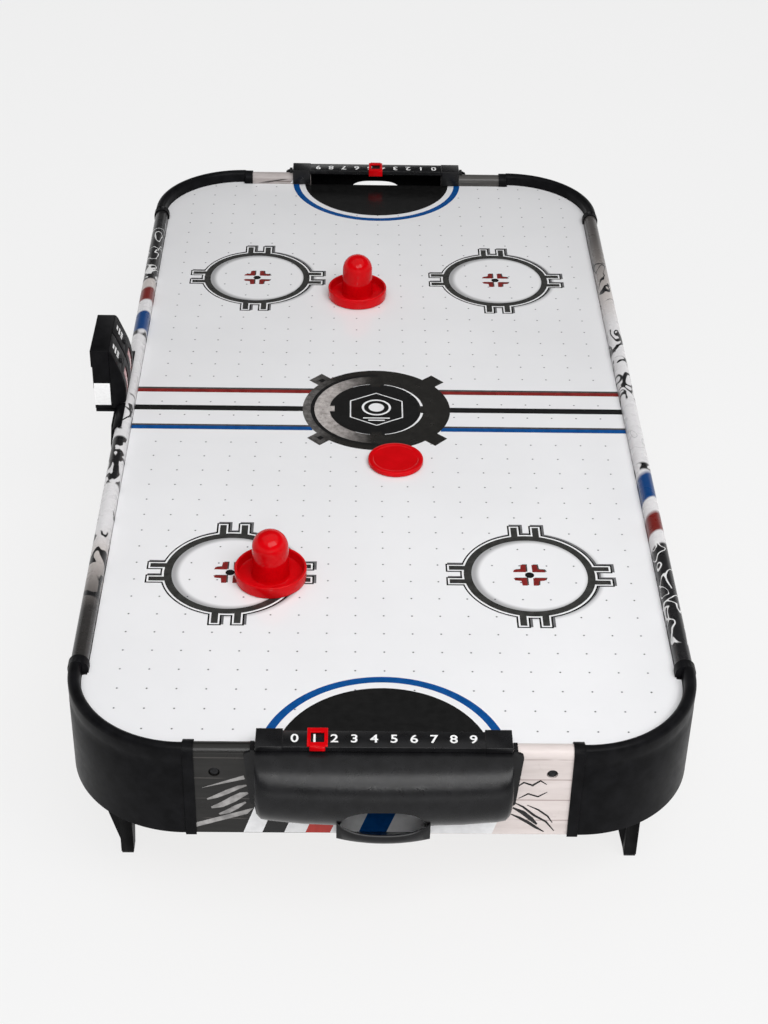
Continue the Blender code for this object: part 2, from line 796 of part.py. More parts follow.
def cut_power_holes(rail):
    hole = block(230, 260, SWITCH_Y - 6.3, SWITCH_Y + 6.3, POWER_Z - 9.3, POWER_Z + 9.3)
    carve(rail, link("hole", raised(hole), "rail"), "DIFFERENCE")
    barrel = turned([(0, -20), (5.3, -20), (5.3, 20), (0, 20)], 16,
                    (245.0, INLET_Y, POWER_Z), "x")
    carve(rail, link("hole", raised(barrel), "rail"), "DIFFERENCE")


def make_switch_body():
    flange = FRAME_HALF_X + 2.3
    xs = [236.0, 246.0, FRAME_HALF_X + GAP, flange]
    ys = [-7.6, -6.0, -4.4, 4.4, 6.0, 7.6]
    zs = [-10.6, -9.0, -7.4, 7.4, 9.0, 10.6]

    def filled(x, y, z):
        if x > 246 and abs(y) < 4.4 and abs(z) < 7.4:
            return False
        return x > FRAME_HALF_X + GAP or (abs(y) < 6.0 and abs(z) < 9.0)

    verts, faces = cells(xs, ys, zs, filled)
    verts = [(x, y + SWITCH_Y, z + POWER_Z) for x, y, z in verts]
    return soften(link("power_switch", raised((verts, faces)), "black"), 0.3)


def make_rocker():
    """Rocker in its off position, tilted about its pivot."""
    shape = [(-1.5, -6.6), (-1.5, 6.6), (3.6, 6.6), (2.5, 0.0), (3.6, -6.6)]
    tilt = math.radians(ROCKER_TILT)
    outline = []
    for x, z in shape:
        outline.append((ROCKER_X + x * math.cos(tilt) + z * math.sin(tilt),
                        POWER_Z - x * math.sin(tilt) + z * math.cos(tilt)))
    pivot = (ROCKER_X, SWITCH_Y, above(POWER_Z))
    geometry = prism(outline, "y", SWITCH_Y - 4.1, SWITCH_Y + 4.1)
    return link("power_rocker", raised(geometry), "black", pivot)


def make_inlet():
    """Round low-voltage socket with its centre pin."""
    face = FRAME_HALF_X
    profile = [(0, 234), (5.0, 234), (5.0, face + GAP), (7.2, face + GAP), (7.2, face + 1.2),
               (6.5, face + 1.8), (3.2, face + 1.8), (3.2, 242), (1.0, 242), (1.0, 250),
               (0, 250)]
    return smooth(link("power_inlet",
                       raised(turned(profile, 16, (0, INLET_Y, POWER_Z), "x")), "black"))


# ---------------------------------------------------------------- scorer

FACE_LINE = ((-259.0, 5.6), (-254.4, 5.6), (-252.6, 9.6), (-250.4, 12.0), (-246.0, 12.6),
             (-245.2, 15.6), (-245.0, 20.0), (-245.0, 28.0), (-246.0, 36.0), (-247.9, 44.0),
             (-250.8, 52.0), (-254.0, 60.0), (-257.0, 67.5), (-259.0, 70.3))
LANES = (0.2, 35.8)
WINDOW_HALF = 6.5
BUTTON_Z = 50.0


def face_line(inset):
    """The face's curve moved inwards; its two ends stay on the back plane."""
    moved = []
    count = len(FACE_LINE)
    for i, (x, z) in enumerate(FACE_LINE):
        ax, az = FACE_LINE[max(i - 1, 0)]
        bx, bz = FACE_LINE[min(i + 1, count - 1)]
        length = math.hypot(bx - ax, bz - az)
        nx, nz = (az - bz) / length, (bx - ax) / length
        if i in (0, count - 1):
            sign = 1 if i == 0 else -1
            moved.append((x, z + sign * inset))
            continue
        moved.append((x + nx * inset, z + nz * inset))
    return moved


def make_scorer_face():
    """Two-lane curved face, hollow behind, with window seats and button holes."""
    groove = (SCORER_Y0 + SCORER_Y1) / 2
    lanes = ((SCORER_Y0, 1.0), (SCORER_Y0 + 1.0, 0.0), (groove - 1.3, 0.0), (groove - 0.6, 1.4),
             (groove + 0.6, 1.4), (groove + 1.3, 0.0), (SCORER_Y1 - 1.0, 0.0), (SCORER_Y1, 1.0))
    rings = []
    for y, inset in lanes:
        rings.append([(x, y, z) for x, z in face_line(inset)])
    face = link("scorer_face", raised(sweep(rings)), "black")
    room = [(x, z) for x, z in face_line(3.0)]
    room = [(-262.0, room[0][1])] + room + [(-262.0, room[-1][1])]
    hollow = prism(room, "y", SCORER_Y0 + 2.4, SCORER_Y1 - 2.4)
    carve(face, link("room", raised(hollow), "black"), "DIFFERENCE")
    for y in LANES:
        seat = window_geometry(y, WINDOW_HALF + GAP, 2.2, 4.0, 0.4)
        carve(face, link("seat", raised(seat), "black"), "DIFFERENCE")
        hole = turned([(0, -255), (2.7, -255), (2.7, -230), (0, -230)], 12,
                      (0, y, BUTTON_Z), "x")
        carve(face, link("hole", raised(hole), "black"), "DIFFERENCE")
    return smooth(face)


def window_geometry(y, half, deep, out, stretch):
    """A curved plate that follows the face from deep below its surface to out above it."""
    levels = [WINDOW_Z0 - stretch, 22.0, 28.0, 34.0, WINDOW_Z1 + stretch]
    near = [(surface_x(z) + out, z) for z in levels]
    back = [(surface_x(z) - deep, z) for z in reversed(levels)]
    return prism(near + back, "y", y - half, y + half)


WINDOW_Z0 = 16.0
WINDOW_Z1 = 40.0


def surface_x(z):
    """X of the face's curve at a height."""
    for (ax, az), (bx, bz) in zip(FACE_LINE[1:], FACE_LINE[2:]):
        if az <= z <= bz:
            return ax + (bx - ax) * (z - az) / (bz - az)
    return FACE_LINE[0][0]


def make_scorer_window(name, y):
    shape = window_geometry(y, WINDOW_HALF, 1.8, -0.3, 0.0)
    return link(name, raised(shape), "window")


def make_scorer_button(name, y):
    """Push button on a horizontal stem, held from behind by its flange."""
    tip = surface_x(BUTTON_Z) + 1.5
    back = tip - 8.0
    profile = [(0, back), (3.2, back), (3.2, back + 1.2), (2.4, back + 1.2), (2.4, tip - 0.5),
               (1.9, tip), (0, tip)]
    centre = (0, y, BUTTON_Z)
    pivot = (back, y, above(BUTTON_Z))
    return smooth(link(name, raised(turned(profile, 12, centre, "x")), "black", pivot))


def make_scorer_housing():
    xs = [-277.0, -275.5, -273.5, SCORER_SPLIT - GAP]
    ys = [SCORER_Y0, SCORER_Y0 + 2, -8.0, 44.0, SCORER_Y1 - 2, SCORER_Y1]
    zs = [SCORER_Z0, SCORER_Z0 + 2, 26.0, 48.0, 52.0, SCORER_Z1 - 2, SCORER_Z1]

    def filled(x, y, z):
        if x < -275.5:
            return z > 52.0
        if x < -273.5:
            return not (-8.0 < y < 44.0 and 26.0 < z < 48.0)
        inside = SCORER_Y0 + 2 < y < SCORER_Y1 - 2 and SCORER_Z0 + 2 < z < SCORER_Z1 - 2
        return not inside

    return soften(link("scorer_housing", raised(cells(xs, ys, zs, filled)), "black"), 0.5)


def saddle_lip():
    """Section of the bracket's lip, which reaches over the rail's rounded top."""
    cx = -FRAME_HALF_X + WALL / 2
    cz = RAIL_RISE - WALL / 2
    outer = arc(cx, cz, WALL / 2 + LIP_THICK, 180, 88, 8)
    inner = arc(cx, cz, WALL / 2 + GAP, 88, 180, 8)
    low = -12.0
    return [(cx - WALL / 2 - LIP_THICK, low)] + outer + inner + [(cx - WALL / 2 - GAP, low)]


LIP_THICK = 2.2


def make_scorer_bracket():
    """Plate on the rail's outer face, flared, with a lip at both ends and a scorer shelf."""
    face = -FRAME_HALF_X - GAP
    outline = [(-58, -24), (94, -24), (94, -8), (82, 5.3), (-46, 5.3), (-58, -8)]
    plate = link("scorer_bracket", raised(prism(outline, "x", face - 3.7, face)), "black")
    shelf = block(-275.0, face - 1.0, SCORER_Y0, SCORER_Y1, 2.4, 5.3)
    carve(plate, link("shelf", raised(shelf), "black"), "UNION")
    for low, high in ((-57.0, SCORER_Y0 - 0.4), (SCORER_Y1 + 0.4, 80.0)):
        lip = prism(saddle_lip(), "y", low, high)
        carve(plate, link("lip", raised(lip), "black"), "UNION")
    return smooth(plate)


def make_battery_door():
    plate = block(-277.0, -275.8, -10, 46, 24, 51.7)
    return soften(link("scorer_battery_door", raised(plate), "black"), 0.3)


def make_battery(name, z):
    profile = [(0, -4.2), (5.1, -4.2), (5.1, 39.2), (1.9, 39.2), (1.9, 40.2), (0, 40.2)]
    return smooth(link(name, raised(turned(profile, 14, (-267.6, 0, z), "y")), "cell"))


def make_circuit_board():
    return link("scorer_circuit", raised(block(-258.4, -257.0, -12, 48, 14, 45.8)), "green")


# ---------------------------------------------------------------- assembly

def clear_scene():
    for piece in list(bpy.data.objects):
        bpy.data.objects.remove(piece)


def centre_on_origin():
    """Puts the middle of the whole table's plan on the origin; the feet stand at zero."""
    pieces = [o for o in bpy.data.objects if o.type == "MESH"]
    bpy.context.view_layer.update()
    corners = [o.matrix_world @ v.co for o in pieces for v in o.data.vertices]
    middle_x = (min(c.x for c in corners) + max(c.x for c in corners)) / 2
    middle_y = (min(c.y for c in corners) + max(c.y for c in corners)) / 2
    for piece in pieces:
        piece.location -= Vector((middle_x, middle_y, 0.0))
    return middle_x, middle_y


def make_frame():
    make_playfield_board()
    make_side_rail("rail_left", -1)
    cut_power_holes(make_side_rail("rail_right", 1))
    make_end_apron("apron_near", -1)
    make_end_apron("apron_far", 1)
    for end_name, sy in (("near", -1), ("far", 1)):
        for side_name, sx in (("left", -1), ("right", 1)):
            title = end_name + "_" + side_name
            make_corner("corner_" + title, sx, sy)
            make_leg("leg_" + title, sx, sy)
            make_foot_pad("foot_pad_" + title, sx, sy)
            make_apron_screw("apron_screw_" + title, sy, sx)


def make_goals():
    make_catcher("catcher_near", -1)
    make_catcher("catcher_far", 1)
    make_score_bar("score_bar_near", -1)
    make_score_bar("score_bar_far", 1)
    make_score_slider("score_slider_near", -1, NEAR_SCORE_X)
    make_score_slider("score_slider_far", 1, FAR_SCORE_X)


def make_playing_pieces():
    make_mallet("mallet_near", MALLET_NEAR)
    make_mallet("mallet_far", MALLET_FAR)
    make_felt("mallet_felt_near", MALLET_NEAR)
    make_felt("mallet_felt_far", MALLET_FAR)
    make_puck()


def make_air_box():
    make_bottom_panel()
    make_plenum_rib("plenum_rib_near", -170.0)
    make_plenum_rib("plenum_rib_far", 170.0)
    make_battens()
    make_blower_frame()
    make_blower_motor()
    make_blower_impeller()
    make_blower_guard()


def make_power():
    make_switch_body()
    make_rocker()
    make_inlet()


def make_scorer():
    make_scorer_bracket()
    make_scorer_housing()
    make_scorer_face()
    for name, y in zip(("near", "far"), LANES):
        make_scorer_window("scorer_window_" + name, y)
        make_scorer_button("scorer_button_" + name, y)
    make_battery_door()
    make_battery("scorer_battery_lower", 31.6)
    make_battery("scorer_battery_upper", 42.6)
    make_circuit_board()


def main():
    clear_scene()
    make_frame()
    make_goals()
    make_playing_pieces()
    make_air_box()
    make_power()
    make_scorer()
    print("centre", centre_on_origin())


main()
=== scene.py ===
"""Surface, print and light of a tabletop air hockey table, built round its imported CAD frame."""

from math import asin, copysign, cos, degrees, hypot, pi, radians, sin

import bmesh
import bpy
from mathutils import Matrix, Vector


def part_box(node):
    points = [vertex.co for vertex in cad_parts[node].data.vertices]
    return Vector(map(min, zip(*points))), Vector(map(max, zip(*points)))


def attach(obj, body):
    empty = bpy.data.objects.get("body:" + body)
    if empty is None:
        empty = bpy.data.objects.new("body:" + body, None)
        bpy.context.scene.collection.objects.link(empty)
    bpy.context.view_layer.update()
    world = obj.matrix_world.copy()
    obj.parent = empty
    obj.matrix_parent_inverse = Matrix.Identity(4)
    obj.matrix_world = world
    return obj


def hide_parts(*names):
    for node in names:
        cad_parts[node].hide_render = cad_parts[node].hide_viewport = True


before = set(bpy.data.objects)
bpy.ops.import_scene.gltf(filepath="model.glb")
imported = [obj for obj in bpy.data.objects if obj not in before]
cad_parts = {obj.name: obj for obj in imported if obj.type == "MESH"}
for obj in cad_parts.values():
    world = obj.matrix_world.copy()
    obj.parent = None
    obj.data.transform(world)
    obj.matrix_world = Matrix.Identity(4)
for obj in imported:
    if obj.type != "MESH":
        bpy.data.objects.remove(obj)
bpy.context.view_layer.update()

# ---- the table's own coordinates

MM = 0.001
board_low, board_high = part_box("playfield_board")
apron_low, apron_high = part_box("apron_near")
ORIGIN = Vector(((apron_low.x + apron_high.x) / 2, (board_low.y + board_high.y) / 2, board_high.z))

HALF_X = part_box("rail_right")[1].x / MM - ORIGIN.x / MM    # outer face of the side rails
HALF_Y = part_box("apron_far")[1].y / MM                     # outer face of the end rails
WALL = 14.0             # thickness of the rails
RISE = 11.0             # rails above the board
DROP = 77.0             # rails below the board
CORNER_RADIUS = 97.8
CORNER_WALL = 10.0
CORNER_RISE = 12.5
CORNER_X = HALF_X - CORNER_RADIUS
CORNER_Y = HALF_Y - CORNER_RADIUS
COLLAR = 8.6            # length of a corner cover's sleeve over a rail
PROUD = 1.5             # that sleeve outside the rail
GAP = 0.3               # clearance between neighbouring pieces
GOAL_HALF = 77.5
NOSE = 14               # steps round a rail's rounded top
BEND_STEPS = 40
SHEET_STEP = 0.012      # lift that keeps crossing shapes of one sheet apart


def spot(x, y, z):
    """World position of a point given in table millimetres, heights from the board's top."""
    return ORIGIN + Vector((x, y, z)) * MM


def in_table(point):
    """A world position in table millimetres."""
    return (point - ORIGIN) / MM


def middle_of(node):
    """Middle of a CAD node's box in table millimetres."""
    low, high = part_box(node)
    return in_table((low + high) / 2)


# ---- meshes

def show(name, data):
    """An object in the scene from a mesh, light or camera."""
    made = bpy.data.objects.new(name, data)
    bpy.context.scene.collection.objects.link(made)
    return made


def soften(mesh, crease):
    """Smooth shading that stops at folds sharper than the crease."""
    mesh.shade_smooth()
    mesh.set_sharp_from_angle(angle=radians(crease))


def build(name, geometry, finish, crease=35.0):
    """A mesh object from (vertices, faces) in table millimetres."""
    verts, faces = geometry
    mesh = bpy.data.meshes.new(name)
    mesh.from_pydata([tuple(spot(*v)) for v in verts], [], faces)
    shell = bmesh.new()
    shell.from_mesh(mesh)
    bmesh.ops.remove_doubles(shell, verts=shell.verts, dist=0.000001)
    bmesh.ops.recalc_face_normals(shell, faces=shell.faces)
    shell.to_mesh(mesh)
    shell.free()
    soften(mesh, crease)
    mesh.materials.append(finish)
    return show(name, mesh)


def piece(name, geometry, finish, body="table", stands_for=None, crease=35.0):
    """A built object that rides a body, and may stand for a CAD node."""
    made = build(name, geometry, finish, crease)
    return settle(made, body, stands_for)


def settle(made, body="table", stands_for=None):
    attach(made, body)
    if stands_for:
        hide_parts(stands_for)
    return made


def round_edges(made, width, segments=3, limit=40.0):
    bevel = made.modifiers.new("edges", "BEVEL")
    bevel.width = width * MM
    bevel.segments = segments
    bevel.limit_method = "ANGLE"
    bevel.angle_limit = radians(limit)
    bevel.harden_normals = True


def evaluated(made):
    """The object's mesh with its modifiers done."""
    bpy.context.view_layer.update()
    graph = bpy.context.evaluated_depsgraph_get()
    return bpy.data.meshes.new_from_object(made.evaluated_get(graph))


def carve(made, other, operation="DIFFERENCE"):
    """Exact Boolean of two objects; the second is removed."""
    cut = made.modifiers.new("cut", "BOOLEAN")
    cut.operation = operation
    cut.solver = "EXACT"
    cut.object = other
    result = evaluated(made)
    made.modifiers.clear()
    made.data = result
    bpy.data.objects.remove(other)


def arc(cx, cy, radius, start, end, steps):
    points = []
    for i in range(steps + 1):
        turn = radians(start + (end - start) * i / steps)
        points.append((cx + radius * cos(turn), cy + radius * sin(turn)))
    return points


def sweep(stations):
    """A closed solid through equal rings of points."""
    count = len(stations[0])
    verts = [point for ring in stations for point in ring]
    faces = [list(range(count))]
    for k in range(len(stations) - 1):
        for i in range(count):
            j = (i + 1) % count
            a = k * count
            faces.append([a + i, a + j, a + count + j, a + count + i])
    last = (len(stations) - 1) * count
    faces.append([last + i for i in range(count)])
    return verts, faces


def prism(outline, axis, low, high):
    place = {
        "x": lambda a, b, t: (t, a, b),
        "y": lambda a, b, t: (a, t, b),
        "z": lambda a, b, t: (a, b, t),
    }[axis]
    return sweep([[place(a, b, t) for a, b in outline] for t in (low, high)])


def block(x0, x1, y0, y1, z0, z1):
    return prism([(x0, y0), (x1, y0), (x1, y1), (x0, y1)], "z", z0, z1)


def patches(shapes):
    """Separate flat faces from lists of points."""
    verts = []
    faces = []
    for shape in shapes:
        start = len(verts)
        verts += shape
        faces.append(list(range(start, start + len(shape))))
    return verts, faces


def turn_faces(made, axis, sign):
    """Makes every face look the same way along an axis."""
    for face in made.data.polygons:
        if face.normal[axis] * sign < 0:
            face.flip()


def turned(profile, steps, centre):
    """A closed (radius, height) profile turned about a vertical axis."""
    cx, cy, cz = centre
    verts = []
    rings = []
    for radius, height in profile:
        count = 1 if radius < 1e-6 else steps
        ring = []
        for i in range(count):
            turn = 2 * pi * i / steps
            ring.append(len(verts))
            verts.append((cx + radius * cos(turn), cy + radius * sin(turn), cz + height))
        rings.append(ring)
    faces = []
    for low, high in zip(rings, rings[1:] + rings[:1]):
        if len(low) == 1 and len(high) == 1:
            continue
        for i in range(steps):
            j = (i + 1) % steps
            loop = [low[i % len(low)], low[j % len(low)], high[j % len(high)], high[i % len(high)]]
            faces.append(list(dict.fromkeys(loop)))
    return verts, faces


def turned_over(geometry, sx, sy):
    verts, faces = geometry
    return [(sx * x, sy * y, z) for x, y, z in verts], faces


# ---- node materials

class Finish:
    """A material with short ways to add and join its nodes."""

    def __init__(self, name, roughness=0.4, metallic=0.0, **constants):
        self.material = bpy.data.materials.new(name)
        self.material.use_nodes = True
        self.tree = self.material.node_tree
        self.shader = self.tree.nodes["Principled BSDF"]
        self.shader.inputs["Roughness"].default_value = roughness
        self.shader.inputs["Metallic"].default_value = metallic
        for key, value in constants.items():
            self.shader.inputs[key.replace("_", " ")].default_value = value
        self.point = self.node("TexCoord").outputs["Object"]
        self.normal = None

    def node(self, kind, inputs=(), **settings):
        made = self.tree.nodes.new("ShaderNode" + kind)
        for key, value in settings.items():
            setattr(made, key, value)
        for key, value in dict(inputs).items():
            self.feed(made.inputs[key], value)
        return made

    def feed(self, socket, value):
        if isinstance(value, bpy.types.NodeSocket):
            self.tree.links.new(value, socket)
        elif socket.type == "RGBA" and len(value) == 3:
            socket.default_value = (*value, 1.0)
        else:
            socket.default_value = value

    def set(self, key, value):
        self.feed(self.shader.inputs[key], value)

    def sum(self, operation, a, b=0.0, c=0.0):
        made = self.node("Math", operation=operation)
        for socket, value in zip(made.inputs, (a, b, c)):
            self.feed(socket, value)
        return made.outputs[0]

    def times(self, a, b):
        return self.sum("MULTIPLY", a, b)

    def wavered(self, value, size, scale, detail):
        """A value pushed up by noise."""
        return self.sum("MULTIPLY_ADD", self.noise(scale, detail), size, value)

    def less(self, a, b):
        return self.sum("SUBTRACT", a, b)

    def reach(self, dx, dy):
        return self.sum("SQRT", self.sum("ADD", self.times(dx, dx), self.times(dy, dy)))

    def table(self):
        """The point's x, y and z in table millimetres."""
        where = self.node("Mapping", {"Vector": self.point})
        where.inputs["Location"].default_value = tuple(-ORIGIN / MM)
        where.inputs["Scale"].default_value = (1 / MM,) * 3
        return self.node("SeparateXYZ", {"Vector": where.outputs[0]}).outputs

    def stretched(self, x, y, z):
        where = self.node("Mapping", {"Vector": self.point})
        where.inputs["Scale"].default_value = (x, y, z)
        return where.outputs[0]

    def noise(self, scale, detail=3.0, roughness=0.55, vector=None, distortion=0.0):
        made = self.node("TexNoise", {"Vector": vector or self.point, "Scale": scale,
                                      "Detail": detail, "Roughness": roughness,
                                      "Distortion": distortion})
        return made.outputs["Fac"]

    def cells(self, scale):
        return self.node("TexVoronoi", {"Vector": self.point, "Scale": scale}).outputs["Distance"]

    def ramp(self, value, low, high, smooth=False):
        """0 at low, 1 at high, held beyond."""
        made = self.node("MapRange", {"Value": value, "From Min": low, "From Max": high})
        made.interpolation_type = "SMOOTHSTEP" if smooth else "LINEAR"
        return made.outputs[0]

    def between(self, value, low, high, edge=0.15):
        """1 inside a span, 0 outside, with a soft edge."""
        rise = self.ramp(value, low - edge, low + edge)
        fall = self.ramp(value, high + edge, high - edge)
        return self.times(rise, fall)

    def mix(self, factor, a, b):
        made = self.node("Mix", data_type="RGBA")
        for index, value in ((0, factor), (6, a), (7, b)):
            self.feed(made.inputs[index], value)
        return made.outputs[2]

    def bands(self, value, low, high, stops):
        """Colour along a value: (position, colour) pairs, straight between them."""
        made = self.node("ValToRGB", {"Fac": self.ramp(value, low, high)})
        ramp = made.color_ramp
        for index, (position, colour) in enumerate(stops):
            where = (position - low) / (high - low)
            stop = ramp.elements[index] if index < 2 else ramp.elements.new(where)
            stop.position = where
            stop.color = (*colour, 1.0)
        return made.outputs["Color"]

    def bump(self, height, depth, strength):
        made = self.node("Bump", {"Height": height, "Distance": depth, "Strength": strength})
        if self.normal:
            self.feed(made.inputs["Normal"], self.normal)
        self.normal = made.outputs["Normal"]
        self.set("Normal", self.normal)

    def grain(self, scale, detail, depth, strength):
        self.bump(self.noise(scale, detail), depth, strength)

    def speckled(self, dark, light, scale, detail=4.0, low=0.35, high=0.65):
        """Base colour wandering between two colours."""
        drift = self.ramp(self.noise(scale, detail), low, high)
        self.set("Base Color", self.mix(drift, dark, light))

    def worn(self, low, high, scale):
        """Roughness wandering between two values."""
        drift = self.noise(scale, 4.0)
        self.set("Roughness", self.sum("MULTIPLY_ADD", drift, high - low, low))


def moulded(name, dark, light, roughness, grain_scale, grain_depth, shine=0.05):
    """Black injection-moulded plastic with a spark-eroded grain."""
    made = Finish(name, roughness, Specular_IOR_Level=shine)
    made.speckled(dark, light, 90)
    made.worn(roughness - 0.08, roughness + 0.1, 140)
    made.bump(made.noise(grain_scale, 2.0, 0.6), grain_depth, 0.4)
    made.bump(made.cells(grain_scale * 0.8), grain_depth * 0.7, 0.25)
    return made.material


def red_plastic():
    made = Finish("red_plastic", 0.08, Specular_IOR_Level=0.14)
    made.speckled((0.53, 0.0005, 0.0025), (0.61, 0.0012, 0.0045), 60)
    made.worn(0.05, 0.11, 90)
    made.grain(35, 2.0, 0.00012, 0.25)
    made.grain(900, 2.0, 0.00001, 0.3)
    return made.material


def felt():
    made = Finish("black_felt", 0.95, Sheen_Weight=0.5, Sheen_Roughness=0.5)
    made.speckled((0.010, 0.010, 0.012), (0.035, 0.035, 0.038), 900)
    made.bump(made.noise(1400, 4.0, 0.7, distortion=1.5), 0.0004, 0.9)
    return made.material


def rubber():
    made = Finish("foot_rubber", 0.85)
    made.speckled((0.012, 0.012, 0.012), (0.028, 0.028, 0.027), 300)
    made.bump(made.cells(900), 0.0002, 0.5)
    return made.material


def fine(name, dark, light, scale, depth, roughness, metallic=0.0):
    """One wandering colour with a fine grain."""
    made = Finish(name, roughness, metallic)
    made.speckled(dark, light, scale)
    made.grain(1500, 3.0, depth, 0.5)
    return made.material


def drawn_steel():
    made = Finish("drawn_steel", 0.34, 1.0, Anisotropic=0.4)
    made.speckled((0.40, 0.41, 0.43), (0.58, 0.59, 0.61), 120)
    made.bump(made.noise(600, 3.0, vector=made.stretched(0.15, 1, 6)), 0.00004, 0.5)
    return made.material


def hardboard():
    """Dense brown fibre board with its sieve-pressed back."""
    made = Finish("hardboard", 0.82)
    made.speckled((0.20, 0.115, 0.055), (0.36, 0.23, 0.125), 260, 6.0, 0.3, 0.7)
    x, y, _ = made.table()
    weave = made.times(made.sum("SINE", made.times(x, 2.6)), made.sum("SINE", made.times(y, 2.6)))
    made.bump(weave, 0.0002, 0.45)
    made.grain(1200, 5.0, 0.00015, 0.6)
    return made.material


def particle_board():
    """Raw pressed chips."""
    made = Finish("particle_board", 0.85)
    chips = made.node("TexVoronoi", {"Vector": made.stretched(1, 0.45, 1), "Scale": 420})
    tone = made.ramp(made.noise(1, 0, vector=chips.outputs["Color"]), 0.3, 0.7)
    made.set("Base Color", made.mix(tone, (0.34, 0.22, 0.115), (0.62, 0.46, 0.29)))
    made.bump(chips.outputs["Distance"], 0.0003, 0.5)
    return made.material


def circuit_board():
    made = Finish("circuit_board", 0.4, Coat_Weight=0.4)
    y = made.table()["Y"]
    tracks = made.sum("FRACT", made.sum("MULTIPLY_ADD", y, 0.45, made.noise(160, 1.0)))
    mask = made.between(tracks, 0.45, 0.62, 0.03)
    made.set("Base Color", made.mix(mask, (0.012, 0.11, 0.045), (0.05, 0.26, 0.11)))
    made.bump(mask, 0.00006, 0.7)
    return made.material


def battery_wrap():
    made = Finish("battery_wrap", 0.3, 0.55, Coat_Weight=0.5)
    z = made.table()["Z"]
    edge = made.between(z, 22.0, 26.0, 0.2)
    grain = made.ramp(made.noise(500, 3.0), 0.3, 0.7)
    body = made.mix(grain, (0.24, 0.25, 0.27), (0.34, 0.35, 0.37))
    made.set("Base Color", made.mix(edge, body, (0.62, 0.50, 0.22)))
    made.grain(900, 2.0, 0.00003, 0.4)
    return made.material


def red_window():
    """Tinted red window with a painted highlight: pale pink lower down, dark red at the top."""
    made = Finish("red_window", 0.12, Coat_Weight=0.8, IOR=1.5)
    z = made.table()["Z"]
    # painted highlight: the window's colour turns pale pink towards its bottom and stays dark red
    # at the top
    painted_glare = made.ramp(made.wavered(z, 8.0, 60, 2.0), 46.0, 20.0, True)
    made.set("Base Color", made.mix(painted_glare, (0.30, 0.020, 0.022), (0.70, 0.22, 0.22)))
    made.grain(300, 2.0, 0.00004, 0.3)
    return made.material


def ink(name, colour, drift=0.12, roughness=0.2):
    """Ink under the clear coat of the printed film, slightly uneven."""
    made = Finish(name, roughness, Specular_IOR_Level=0.3, Coat_Weight=0.04, Coat_Roughness=0.08)
    dark = tuple(c * (1 - drift) for c in colour)
    light = tuple(min(1.0, c * (1 + drift) + 0.002) for c in colour)
    made.speckled(dark, light, 130, 5.0)
    made.worn(roughness - 0.05, roughness + 0.08, 30)
    made.grain(24, 2.0, 0.00006, 0.2)
    return made.material


# ---- the board and its print

PRINT_X = -1.0
PRINT_Y = -4.6
RING_X = 130.1
RING_Y = 265.0
RING_RADIUS = 60.4
PRONG_SIDE = 9.6
HOLE_PITCH = 23.88
EMBLEM = (-2.5, -4.0)
FIELD_RADIUS = 85.2
LINE_HALF = 4.5


def board_laminate():
    """Glossy white laminate with its field of air holes painted as dark dots (painted shade), and
    the print's soft shades.
    """
    made = Finish("playfield_laminate", 0.16, Coat_Weight=0.35, Coat_Roughness=0.04, IOR=1.5)
    x, y, _ = made.table()
    drift = made.ramp(made.noise(5.0, 5.0, 0.6), 0.3, 0.7)
    paper = made.mix(drift, (0.800, 0.800, 0.815), (0.850, 0.850, 0.865))
    shade = ring_shade(made, x, y)
    paper = made.mix(shade, paper, (0.10, 0.10, 0.105))
    # painted shade: a faint dark ring round each air hole, and a dark dot in the hole itself
    hole, rim = air_holes(made, x, y)
    paper = made.mix(made.times(rim, 0.25), paper, (0.30, 0.30, 0.33))
    made.set("Base Color", made.mix(hole, paper, (0.10, 0.10, 0.11)))
    made.worn(0.10, 0.24, 9)
    made.grain(16, 2.0, 0.00010, 0.12)
    made.grain(500, 2.0, 0.00001, 0.25)
    made.bump(made.less(1.0, hole), 0.0006, 0.8)
    return made.material


def ring_shade(made, x, y):
    """Soft printed shadow beside each corner ring."""
    near = made.less(x, PRINT_X)
    along = made.less(y, PRINT_Y)
    side = made.times(made.sum("SIGN", near), RING_X)
    end = made.times(made.sum("SIGN", along), RING_Y)
    dx = made.less(made.less(near, side), 2.6)
    dy = made.less(along, end)
    off = made.sum("ABSOLUTE", made.less(made.reach(dx, dy), 54.4))
    return made.times(made.ramp(off, 9.5, 3.5, True), 0.62)


def air_holes(made, x, y):
    """Masks of the drilled holes and of the faint ring round each; the board paints them as shade:
    a dark dot in each hole and a faint dark ring round it.
    """
    across = made.sum("DIVIDE", made.less(x, 1.6), HOLE_PITCH)
    along = made.sum("DIVIDE", made.less(y, 6.6), HOLE_PITCH)
    du = made.less(across, made.sum("ROUND", across))
    dv = made.less(along, made.sum("ROUND", along))
    radius = made.times(made.reach(du, dv), HOLE_PITCH)
    field = made.times(made.between(across, -9.5, 9.5, 0.01),
                       made.between(along, -20.5, 20.5, 0.01))
    hole = made.times(made.ramp(radius, 0.85, 0.5), field)
    rim = made.times(made.ramp(radius, 1.5, 0.8), field)
    return hole, rim


def soot(name, dark, light, fade_from, fade_to, end_dark, end_light):
    """Worn metal print: one tone on the left that fades to another on the right."""
    made = Finish(name, 0.22, Specular_IOR_Level=0.3, Coat_Weight=0.04, Coat_Roughness=0.1)
    x = made.table()["X"]
    blotches = made.ramp(made.noise(170, 7.0, 0.72), 0.35, 0.66)
    pits = made.ramp(made.noise(420, 5.0, 0.7), 0.56, 0.68)
    left = made.mix(blotches, dark, light)
    right = made.mix(blotches, end_dark, end_light)
    ragged = made.wavered(x, 22.0, 60, 3.0)
    fade = made.ramp(ragged, fade_from, fade_to, True)
    tone = made.mix(fade, left, right)
    made.set("Base Color", made.mix(made.times(pits, 0.55), tone, (0.018, 0.016, 0.015)))
    made.worn(0.16, 0.34, 60)
    return made.material


